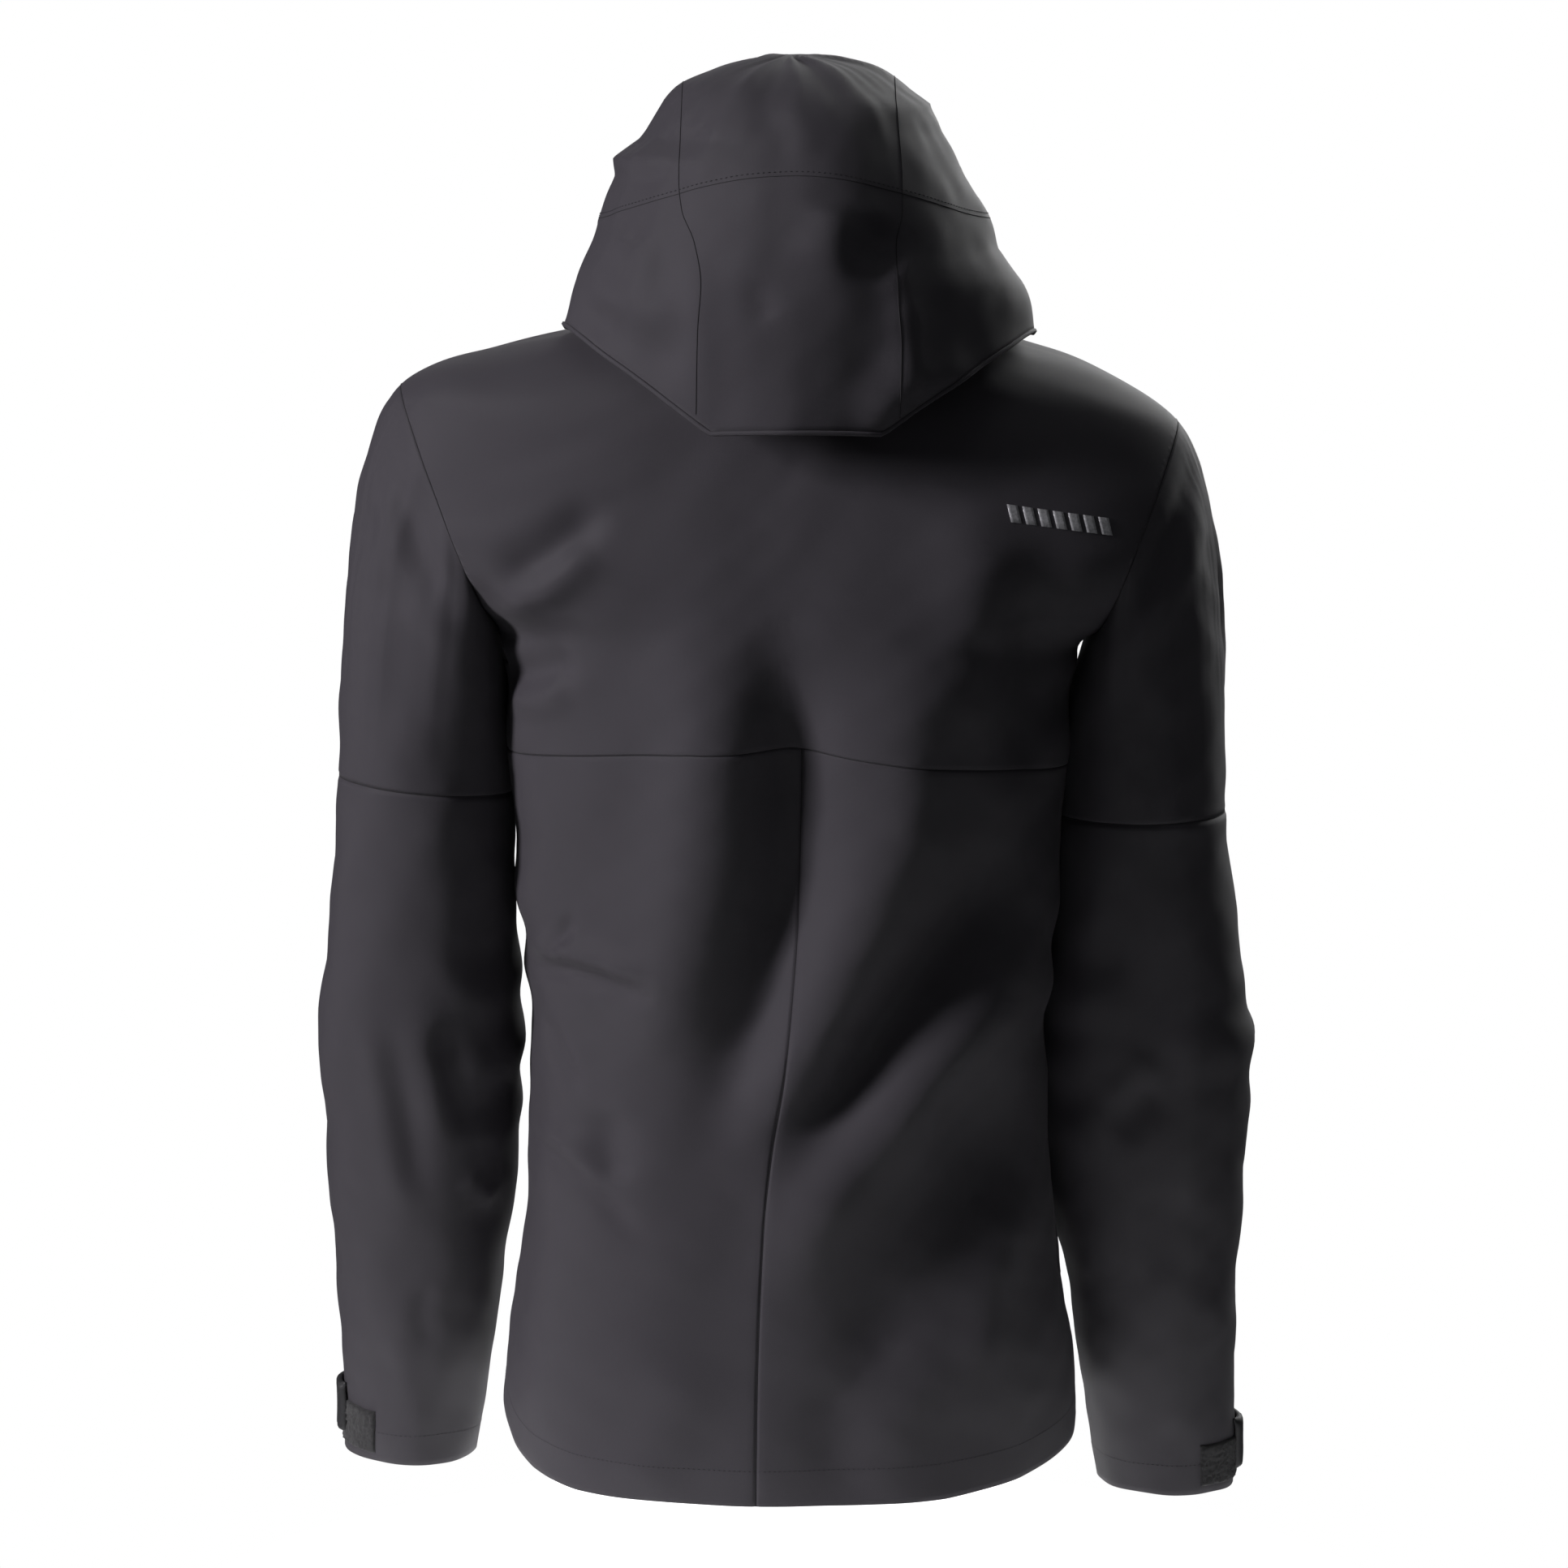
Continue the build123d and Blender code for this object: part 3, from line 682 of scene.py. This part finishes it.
# ---------------------------------------------------------------- sleeves
SLEEVE_COLUMNS = 112
UPPER_ROWS = 62  # from the armhole to the sleeve's seam
LOWER_ROWS = 112  # from the seam to the cuff
SEAM_AT = UPPER_ROWS - 1
PHIS = np.linspace(0, 2 * math.pi, SLEEVE_COLUMNS, endpoint=False)
SLEEVE_TILT = 0.042  # how much higher the sleeve hangs per mm towards the wearer's left
SLEEVE_FOLDS = {
    # line as (x, z), half width, height; the front has the other sleeve's folds
    "left": [
        ([(255, -50), (244, -100), (222, -150), (206, -170)], 6, -3.0),
        ([(262, -70), (252, -120), (234, -165), (208, -190)], 7, 2.6),
        ([(262, -430), (252, -480), (237, -560)], 8, -3.5),
        ([(272, -420), (262, -490), (250, -570)], 8, 3.0),
        ([(226, -430), (216, -475), (205, -520)], 8, -4.0),
        ([(238, -420), (230, -470), (222, -520)], 8, 3.0),
        ([(212, -538), (200, -552), (190, -560)], 5, 2.5),
        ([(232, -610), (242, -632), (236, -660)], 6, -2.5),
        ([(206, -300), (200, -360), (196, -420)], 10, -3.0),
        ([(258, -640), (250, -690), (240, -725)], 7, 2.0),
    ],
    "right": [
        ([(-255, -60), (-244, -110), (-222, -155), (-206, -175)], 6, -3.0),
        ([(-262, -80), (-252, -130), (-234, -170), (-208, -195)], 7, 2.6),
        ([(-236, -452), (-222, -470), (-206, -492)], 9, 4.0),
        ([(-240, -475), (-226, -490), (-208, -512)], 8, -4.5),
        ([(-254, -420), (-256, -500), (-252, -570)], 11, 3.5),
        ([(-236, -500), (-240, -560), (-238, -630)], 9, -3.0),
        ([(-212, -320), (-206, -380), (-200, -430)], 10, -3.0),
        ([(-262, -630), (-256, -680), (-248, -725)], 7, 2.0),
    ],
}
# Dents and bumps of the outer edge: height z, half width, size.
SILHOUETTE = {"left": [(-455, 14, 1.5), (-400, 12, -1.0), (-560, 18, 1.0)],
              "right": [(-452, 11, 3.0), (-430, 9, -1.5), (-480, 10, -1.5), (-306, 6, 1.6)]}


def sleeve_lift(side, p, n):
    """How far the folds lift a sleeve's cloth."""
    k = SIDES[side]
    px, pz = p[..., 0], p[..., 2]
    back_share = smooth(n[..., 1], -0.3, 0.3)
    lift = np.zeros(px.shape)
    for fold in SLEEVE_FOLDS[side]:
        lift += back_share * stroke(px, pz, *fold)
    for line, width, height in SLEEVE_FOLDS["left" if k < 0 else "right"]:
        lift += (1 - back_share) * 0.8 * stroke(px, pz, [(-x, z) for x, z in line], width, height)
    for z, width, height in SILHOUETTE[side]:
        lift += smooth(n[..., 0] * k, 0.2, 0.8) * height * np.exp(-0.5 * ((pz - z) / width) ** 2)
    around = np.broadcast_to(PHIS * 56, pz.shape)
    lift += ripple(around, pz, 11 + (k > 0), 70, 1.0) + ripple(around, pz, 21 + (k > 0), 30, 0.25)
    inner = smooth(-n[..., 0] * k, 0.1, 0.7)
    creases = np.exp(-0.5 * ((pz + 455) / 55) ** 2)
    lift += inner * creases * 1.6 * np.sin(pz / 7.5 + 1.2 * np.sin(around / 17))
    return lift


def sleeve_rings(side, heights):
    """Level rings of a sleeve, tilted as it hangs, dipping on the body's side near the seam."""
    k = SIDES[side]
    table = SLEEVES[side][::-1]
    inner, outer, behind, depth = (hermite(table[:, 0], table[:, i], heights)[:, None] for i in range(1, 5))
    x = k * ((inner + outer) / 2 + (outer - inner) / 2 * np.cos(PHIS))
    y = MID_Y + behind + depth * np.sin(PHIS)
    dip = 3.0 * (1 - np.cos(PHIS)) * (1 - smooth(-heights, 298, 400))[:, None]
    return np.stack([x, y, heights[:, None] + SLEEVE_TILT * x - dip], 2)


def armhole_ring(loop, k):
    """The armhole's cut edge, as one point for each column of the sleeve."""
    up = np.array([arm_plane[0] * k, 0, arm_plane[1]])
    up /= np.linalg.norm(up)
    rel = loop - loop.mean(0)
    angle = np.arctan2(rel[:, 1], rel @ up) % (2 * math.pi)
    order = np.argsort(angle)
    extended = np.concatenate([angle[order] + turn * 2 * math.pi for turn in (-1, 0, 1)])
    return np.stack([np.interp(PHIS, extended, np.tile(loop[order, i], 3)) for i in range(3)], 1)


def leaving(start_ring, k, bottom_share):
    """The direction in which the sleeve leaves the armhole: along the body's cloth, and down underneath."""
    near_arm = (flat_surface[:, 0] * k > 150) & (flat_surface[:, 2] > -230)
    cloth_points = flat_surface[near_arm]
    nearest = [int(np.argmin(((cloth_points - point) ** 2).sum(1))) for point in start_ring]
    cloth_n = flat_normals[near_arm][nearest]
    leave = np.cross(np.roll(start_ring, -1, 0) - np.roll(start_ring, 1, 0), cloth_n)
    leave /= np.linalg.norm(leave, axis=1, keepdims=True)
    leave *= np.sign(leave @ np.array([arm_normal[0] * k, 0, arm_normal[1]]))[:, None]
    down = np.array([-0.09 * k, 0, -1.0])
    flat_down = down - (cloth_n @ down)[:, None] * cloth_n * 0.8
    flat_down /= np.linalg.norm(flat_down, axis=1, keepdims=True)
    leave = leave * (1 - bottom_share) + flat_down * bottom_share
    return leave / np.linalg.norm(leave, axis=1, keepdims=True)


def sleeve_surface(side, start_ring):
    """A whole sleeve's points and outward normals, row 0 at the armhole."""
    k = SIDES[side]
    bottom_share = smooth(1 - np.cos(PHIS), 0.02, 1.1)[:, None]
    end_ring = sleeve_rings(side, np.array([SEAM_SLEEVE]))[0]
    reach = np.linalg.norm(end_ring - start_ring, axis=1)[:, None]
    first_pull = leaving(start_ring, k, bottom_share) * reach * (0.62 - 0.22 * bottom_share)
    last_pull = np.array([0.03 * k, -0.05, -1.0]) * reach * 0.75
    t = np.linspace(0, 1, UPPER_ROWS)[:, None, None]
    upper = ((1 + 2 * t) * (1 - t) ** 2 * start_ring + t * t * (3 - 2 * t) * end_ring
             + t * (1 - t) ** 2 * first_pull - t * t * (1 - t) * last_pull)
    lower = sleeve_rings(side, np.linspace(SEAM_SLEEVE, CUFF_Z, LOWER_ROWS))
    points = np.concatenate([upper, lower[1:]], 0)
    n = ring_normals(points) * -k
    fade = smooth(np.arange(len(points)), 0, 12)[:, None]
    points = points + n * (sleeve_lift(side, points, n) * fade)[..., None]
    points[SEAM_AT] -= n[SEAM_AT] * SEAM_DEPTH
    return points, ring_normals(points) * -k


def on_sleeve(grid, rings, columns):
    """A sleeve grid's values at fractional rows and columns."""
    r0 = np.minimum(rings.astype(int), len(grid) - 2)
    c0 = columns.astype(int)
    down, across = (rings - r0)[:, None, None], (columns - c0)[None, :, None]
    beside = (c0 + 1) % SLEEVE_COLUMNS
    near = grid[r0][:, c0] * (1 - across) + grid[r0][:, beside] * across
    far = grid[r0 + 1][:, c0] * (1 - across) + grid[r0 + 1][:, beside] * across
    return near * (1 - down) + far * down


CUFF_GRID = (26, 44)
# Low and high edge, first and last angle in degrees, lift, raised by, thickness, material, body, CAD node.
CUFF_PIECES = {
    "cuff_patch": (-744, -714, 6, 62, 0.2, 1.5, 1.0, FUZZ, "forearm", "cuff_loop_patch"),
    "cuff_strap": (-738, -702, -104, 20, 2.2, 2.0, 1.6, RUBBER, "cuff_strap", "cuff_tab"),
}


def cuff_piece(name, side, points, n):
    """The cuff's loop patch or its tab, laid on the sleeve's cloth with its edges rounded down."""
    low_z, high_z, first, last, lift, raised, thickness, material, rides, replaced = CUFF_PIECES[name]
    share = (SEAM_SLEEVE - np.linspace(low_z, high_z, CUFF_GRID[0])) / (SEAM_SLEEVE - CUFF_Z)
    rings = SEAM_AT + share * (LOWER_ROWS - 1)
    columns = (np.linspace(first, last, CUFF_GRID[1]) % 360) / 360 * SLEEVE_COLUMNS
    out = on_sleeve(n, rings, columns)
    out /= np.linalg.norm(out, axis=2, keepdims=True)
    u, v = np.linspace(-1, 1, CUFF_GRID[1])[None, :], np.linspace(-1, 1, CUFF_GRID[0])[:, None]
    rounded = np.clip(np.abs(u) ** 14 + np.abs(v) ** 8, 0, 1)
    raise_by = lift + raised - (raised + lift - 0.2) * rounded ** 3
    if name == "cuff_strap":
        raise_by = raise_by + 1.2 * smooth(u, 0.3, 1.0) - 0.3 * np.cos(v * 3.1)
    else:
        raise_by = raise_by + 0.35 * rng.standard_normal(raise_by.shape)
    skin = on_sleeve(points, rings, columns) + out * raise_by[..., None]
    faces = grid_faces(*CUFF_GRID, False)[:, ::SIDES[side]]
    obj = make_mesh(f"{name}_{side}_piece", skin.reshape(-1, 3), faces, material)
    thicken(obj, thickness)
    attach(obj, f"{rides}_{side}")
    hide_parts(f"{replaced}_{side}")


for side, k in SIDES.items():
    start_ring = armhole_ring(loops[side], k)
    sleeve, sleeve_n = sleeve_surface(side, start_ring)
    for name, part in (("sleeve_top", sleeve[:SEAM_AT + 1]), ("sleeve_low", sleeve[SEAM_AT:])):
        faces = grid_faces(len(part), SLEEVE_COLUMNS, True)[:, ::-k]
        obj = make_mesh(f"{name}_{side}", part.reshape(-1, 3), faces, SHELL)
        thicken_lined(obj, CLOTH)
        if name == "sleeve_top":
            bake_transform(obj)
            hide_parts(f"sleeve_upper_{side}")
        else:
            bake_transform(obj)
            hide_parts(f"sleeve_elbow_{side}", f"sleeve_forearm_{side}")
    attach(tube(f"armhole_seam_{side}", closed_line(start_ring), 0.32, SEAM), "torso")
    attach(tube(f"sleeve_seam_{side}", closed_line(sleeve[SEAM_AT]), 0.3, SEAM), f"upper_arm_{side}")
    for name in CUFF_PIECES:
        cuff_piece(name, side, sleeve, sleeve_n)
    line, line_n = closed_line(sleeve[-6]), closed_line(sleeve_n[-6])
    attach(stitches(f"cuff_stitching_{side}", line, line_n, THREAD, lift=0.15), f"forearm_{side}")


# ---------------------------------------------------------------- hood
HOOD_FOLDS = [
    ([(-62, 84), (-54, 66), (-70, 52)], 11, -5.5),
    ([(-30, 92), (-22, 70), (-16, 50)], 12, 4.0),
    ([(-72, 40), (-74, 10), (-70, -20)], 9, 3.0),
    ([(-40, -50), (-70, -20), (-122, -8)], 10, 5.0),
    ([(-50, -66), (-80, -44), (-128, -26)], 8, -4.5),
    ([(16, 48), (20, 34), (12, 20)], 7, -2.2),
    ([(130, 40), (96, 30), (62, 16)], 9, 2.6),
    ([(132, 24), (100, 8), (62, -6)], 9, -2.4),
    ([(118, 74), (100, 60), (78, 54)], 7, 2.0),
    ([(110, -20), (80, -52), (52, -66)], 9, 2.5),
    ([(62, 80), (58, 20), (60, -50)], 8, 1.8),
    ([(-66, 80), (-68, 30), (-70, -40)], 7, 1.8),
    ([(0, 150), (4, 120), (0, 100)], 14, -1.5),
]


def hood_grid(places, angles):
    rows = rows_of(HOOD, places)
    z, half_width, y, half_depth, tilt = (rows[:, i][:, None] for i in range(5))
    c, s = np.cos(angles)[None, :], np.sin(angles)[None, :]
    low_share = 1 - smooth(z, 3, 70)
    exponent = 1 + 0.18 * low_share * (s > 0)
    lx = half_width * power(c, exponent)
    ly = half_depth * power(s, exponent)
    angle = np.radians(-tilt)
    return np.stack([lx, MID_Y + y + ly * np.cos(angle), z + ly * np.sin(angle)], 2)


def hood_lift(p, n):
    px, pz = p[..., 0], p[..., 2]
    back_share = smooth(n[..., 1], -0.2, 0.3)
    lift = np.zeros(px.shape)
    for fold in HOOD_FOLDS:
        lift += 1.3 * back_share * stroke(px, pz, *fold)
    around = np.arctan2(p[..., 1] + 50, px) * 120
    lift += ripple(around, pz, 31, 80, 1.1) + ripple(around, pz, 37, 34, 0.3)
    side = smooth(np.abs(n[..., 0]), 0.75, 0.95)
    lift += side * 1.8 * np.sin(pz / 9.0 + px / 60 + 1.1)
    return lift


hood_total = outline(HOOD)[-1]
hood_places = np.linspace(0, hood_total, 66)
hood_angles = np.linspace(0, 2 * math.pi, 200, endpoint=False) - math.pi / 2
hood = hood_grid(hood_places, hood_angles)
# The rear edge is cut like a trapezoid: level in the middle, then straight up to both sides.
rim_x, rim_y, rim_z = hood[0].T
edge_z = -66 + 0.80 * np.clip(np.abs(rim_x + 3) - 52, 0, None)
rise = (edge_z + 0.139 * (rim_y + 50) - rim_z) * smooth(rim_y, MID_Y - 60, MID_Y + 20)
down_share = 1 - smooth(hood_places, 0, 95)
hood[..., 2] += rise[None, :] * down_share[:, None]
# Its two sides don't bulge alike.
hood_z = hood[..., 2]
left_side = np.interp(hood_z, [0, 40, 80, 106, 117, 129, 150, 165, 180], [0, -3, 0, 0, 10, 0, 1, 3, 0])
right_side = np.interp(hood_z, [-20, 0, 40, 60, 105, 135, 150, 158, 180], [6, 9, 9, 2, 0, 2, 8, 3, 0])
outward = np.abs(np.cos(hood_angles)[None, :]) ** 1.5
hood[..., 0] += outward * np.where(hood[..., 0] > 0, left_side, -right_side)
hood[..., 0] -= 6 * smooth(hood_z, 160, 181)
hood_n = ring_normals(hood)
crown_fade = smooth(hood_total - hood_places, 4, 30)[:, None]
hood_points = hood + hood_n * (hood_lift(hood, hood_n) * crown_fade)[..., None]
cols = hood_points.shape[1]
FACE_HALF, FACE_Z, FACE_HIGH = 78, 84, 62  # the face opening: an arch with straight sides below FACE_Z
bm = bmesh.new()
verts = [bm.verts.new(p) for p in (hood_points.reshape(-1, 3) * MM).tolist()]
for quad in grid_faces(len(hood_points), cols, True):
    corners = [verts[i] for i in quad]
    centre = sum((v.co for v in corners), Vector()) / 4 / MM
    in_arch = (centre.x / FACE_HALF) ** 2 + ((centre.z - FACE_Z) / FACE_HIGH) ** 2 < 1
    between = abs(centre.x) < FACE_HALF and centre.z < FACE_Z
    if centre.y < MID_Y - 40 and (in_arch or between):
        continue
    bm.faces.new(corners).smooth = True
bmesh.ops.delete(bm, geom=[v for v in bm.verts if not v.link_faces], context="VERTS")
# Smooth the edge of the face opening, which was cut along whole faces.
edge_verts = {v for e in bm.edges if e.is_boundary for v in e.verts if v.co.y < (MID_Y - 38) * MM}
for _ in range(12):
    moved = {}
    for v in edge_verts:
        near = [e.other_vert(v).co for e in v.link_edges if e.is_boundary]
        if len(near) == 2:
            moved[v] = (v.co + near[0] + near[1]) / 3
    for v, co in moved.items():
        v.co = co
mesh = bpy.data.meshes.new("hood_cloth")
bm.to_mesh(mesh)
bm.free()
mesh.materials.append(SHELL)
hood_cloth = add("hood_cloth", mesh)
thicken_lined(hood_cloth, 1.2)
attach(hood_cloth, "hood")
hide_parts("hood_centre_rear", "hood_centre_front", "hood_side_rear_left",
            "hood_side_rear_right", "hood_side_front_left", "hood_side_front_right")

# Hood seams, cast onto the cloth from outside.
bpy.context.view_layer.update()
hood_shape = hood_cloth.evaluated_get(bpy.context.evaluated_depsgraph_get())
HUB_Y, HUB_Z = MID_Y + 10, 60.0


def cast(points, centres):
    """Points pushed out from their centres to the cloth's outside, with the cloth's normals, in mm."""
    found, normals = [], []
    for point, centre in zip(points, centres):
        direction = (Vector(point) - Vector(centre)).normalized()
        hit, where, n, _ = hood_shape.ray_cast(Vector(centre) * MM + direction * 0.6, -direction)
        if hit:
            found.append(np.array(where) / MM)
            normals.append(np.array(n))
    return np.array(found), np.array(normals)


# The two seams over the crown, as (x, z) up the back.
CROWN_SEAMS = {
    "left": [(53, -110), (58, -40), (57, 10), (55, 40), (59, 70), (67, 100), (69, 130), (68, 200)],
    "right": [(-66, -110), (-67, -40), (-68, 0), (-66, 30), (-65, 70), (-69, 100), (-69, 130), (-66, 200)],
}
for name, knots in CROWN_SEAMS.items():
    offsets, heights = np.array(knots, float).T
    # Sweep over the crown from the low back rim towards the brow.
    swings = np.linspace(-0.75, 2.0, 140)
    y, z = HUB_Y + 150 * np.cos(swings), HUB_Z + 150 * np.sin(swings)
    x = np.where(swings < 1.45, hermite(heights, offsets, np.clip(z, -109, 199)), offsets[-1])
    line, line_n = cast(np.stack([x, y, z], 1), [(at, HUB_Y, HUB_Z) for at in x])
    line += line_n * 0.05
    keep = np.concatenate([[True], np.linalg.norm(np.diff(line, axis=0), axis=1) < 12])
    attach(tube(f"hood_seam_{name}", line[keep], 0.32, SEAM), "hood")

# The band seam round the hood, with a row of stitches above it.
sweep = np.linspace(-0.45, math.pi + 0.45, 190)
x, y = 128 * np.cos(sweep), 150 * np.sin(sweep)
band = np.stack([x, HUB_Y + y, 118 - 34 * (x / 120) ** 2 - 0.4 * np.clip(-y, 0, None)], 1)
centres = [(0, HUB_Y, 80)] * len(band)
line, line_n = cast(band, centres)
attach(tube("hood_band_seam", line + line_n * 0.05, 0.25, SEAM), "hood")
above, above_n = cast(line + [0, 0, 3.0], centres)
band_stitches = stitches("hood_band_stitching", above, above_n, THREAD, 3.4, 2.4, 0.7, 0.3)
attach(band_stitches, "hood")

# The underside from the rear edge in to the neck.
UNDER_ROWS = 14
steps = np.linspace(0, 1, UNDER_ROWS)[:, None, None]
outer_edge = hood_points[0, hood_points[0, :, 1] > MID_Y - 42]
neck_angle = np.arctan2(outer_edge[:, 1] - HUB_Y, outer_edge[:, 0])
sine = np.sin(neck_angle)
neck_y = MID_Y + 8 + 84 * sine - 12 * (sine < 0)
neck_edge = np.stack([90 * np.cos(neck_angle), neck_y, 12 - 6 * np.clip(sine, 0, 1)], 1)
under = outer_edge[None] * (1 - steps) + neck_edge[None] * steps
under[..., 2] += 10 * np.sin(steps[..., 0] * math.pi) * np.clip(sine, 0, 1)[None, :]
under_faces = grid_faces(UNDER_ROWS, len(outer_edge), False)
under_piece = make_mesh("hood_underside_cloth", under.reshape(-1, 3), under_faces, SHELL)
thicken(under_piece, 0.8)
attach(under_piece, "hood")
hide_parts("hood_underside")

# The rim's rolled fold.
rim_keep = np.flatnonzero(hood_points[0, :, 1] > MID_Y + 5)
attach(tube("hood_rim_fold", hood_points[0, rim_keep[0]:rim_keep[-1] + 1], 1.6, SHELL), "hood")


def paint(names, material):
    for name in names:
        nodes[name].data.materials.clear()
        nodes[name].data.materials.append(material)


paint([n for n in nodes if n.startswith(("front_zip_tape", "storm_flap"))], TAPE)
paint([n for n in nodes if n.startswith("front_zip_coil") or n.endswith("_zip")], COIL)
paint([n for n in nodes if n.endswith("_slider")], METAL)
paint([n for n in nodes if n.endswith("_pull")], RUBBER)
paint([n for n in nodes if n.endswith("_welt")], TAPE)
paint([n for n in nodes if n.startswith("hem_cord")] + ["front_zip_retainer_box"], PLASTIC)
paint(["chin_guard"], FLEECE)
paint(["hang_loop"], TAPE)
paint(["collar"], SHELL)
paint([n for n in nodes if "bag" in n] + ["hood_brim_stiffener"], INNER)


# ---------------------------------------------------------------- the sleeve pieces of each side, looked up by name
for side in SIDES:
    top, low = bpy.data.objects[f"sleeve_top_{side}"], bpy.data.objects[f"sleeve_low_{side}"]

# ---------------------------------------------------------------- floor, light, camera
bpy.ops.mesh.primitive_circle_add(radius=0.42, fill_type="NGON", vertices=128, location=(0, -0.06, -0.85))
floor = bpy.context.object
floor.name = "floor"
pale, pale_tree, pale_shader = new_material("pale_floor", (0.9, 0.9, 0.9), 0.9)
pale_shader.inputs["Emission Color"].default_value = (1, 1, 1, 1)
pale_shader.inputs["Emission Strength"].default_value = 0.97
grain = node(pale_tree, "ShaderNodeTexNoise", Scale=40.0)
pale_stops = ((0.0, (0.86, 0.86, 0.86)), (1.0, (0.9, 0.9, 0.9)))
colour_ramp(pale_tree, grain.outputs["Fac"], pale_stops, pale_shader.inputs["Base Color"])
floor.data.materials.append(pale)

world = bpy.data.worlds.new("studio")
bpy.context.scene.world = world
world.use_nodes = True
tree = world.node_tree
back = tree.nodes["Background"]
back.inputs["Color"].default_value = (1, 1, 1, 1)
back.inputs["Strength"].default_value = 1.0
dim = node(tree, "ShaderNodeBackground")
dim.inputs["Color"].default_value = (0.95, 0.97, 1, 1)
dim.inputs["Strength"].default_value = 0.06
ray = node(tree, "ShaderNodeLightPath")
mix = node(tree, "ShaderNodeMixShader")
tree.links.new(ray.outputs["Is Camera Ray"], mix.inputs[0])
tree.links.new(dim.outputs[0], mix.inputs[1])
tree.links.new(back.outputs[0], mix.inputs[2])
tree.links.new(mix.outputs[0], tree.nodes["World Output"].inputs["Surface"])


def area_light(name, place, aim, size, watts, colour=(1, 1, 1)):
    light = bpy.data.lights.new(name, "AREA")
    light.shape = "RECTANGLE"
    light.size, light.size_y = size
    light.energy = watts
    light.color = colour
    obj = add(name, light)
    obj.location = place
    obj.rotation_euler = (Vector(aim) - Vector(place)).to_track_quat("-Z", "Y").to_euler()


area_light("key", (3.3, 1.45, 1.0), (0, 0, -0.15), (0.8, 1.2), 165, (1.0, 0.97, 1.0))
area_light("fill", (-1.4, 3.2, 0.6), (0, 0, -0.3), (2.0, 2.0), 3)
area_light("front_fill", (-1.6, -3.0, 1.2), (0, 0, -0.3), (2.0, 2.0), 60)
area_light("top", (0.3, 0.2, 2.6), (0, 0, 0), (1.6, 1.6), 5)

camera_data = bpy.data.cameras.new("camera")
camera = add("camera", camera_data)
camera_data.lens = 125
camera_data.sensor_width = 36
aim = Vector((0.004, -0.05, -0.283))
azimuth, elevation, distance = math.radians(180), math.radians(8), 3.5
level = Vector((-math.sin(azimuth), -math.cos(azimuth), 0))
away = level * math.cos(elevation) + Vector((0, 0, math.sin(elevation)))
camera.location = aim + away * distance
camera.rotation_euler = (aim - camera.location).to_track_quat("-Z", "Y").to_euler()
bpy.context.scene.camera = camera
bpy.context.scene.view_settings.view_transform = "Standard"

bpy.context.view_layer.update()
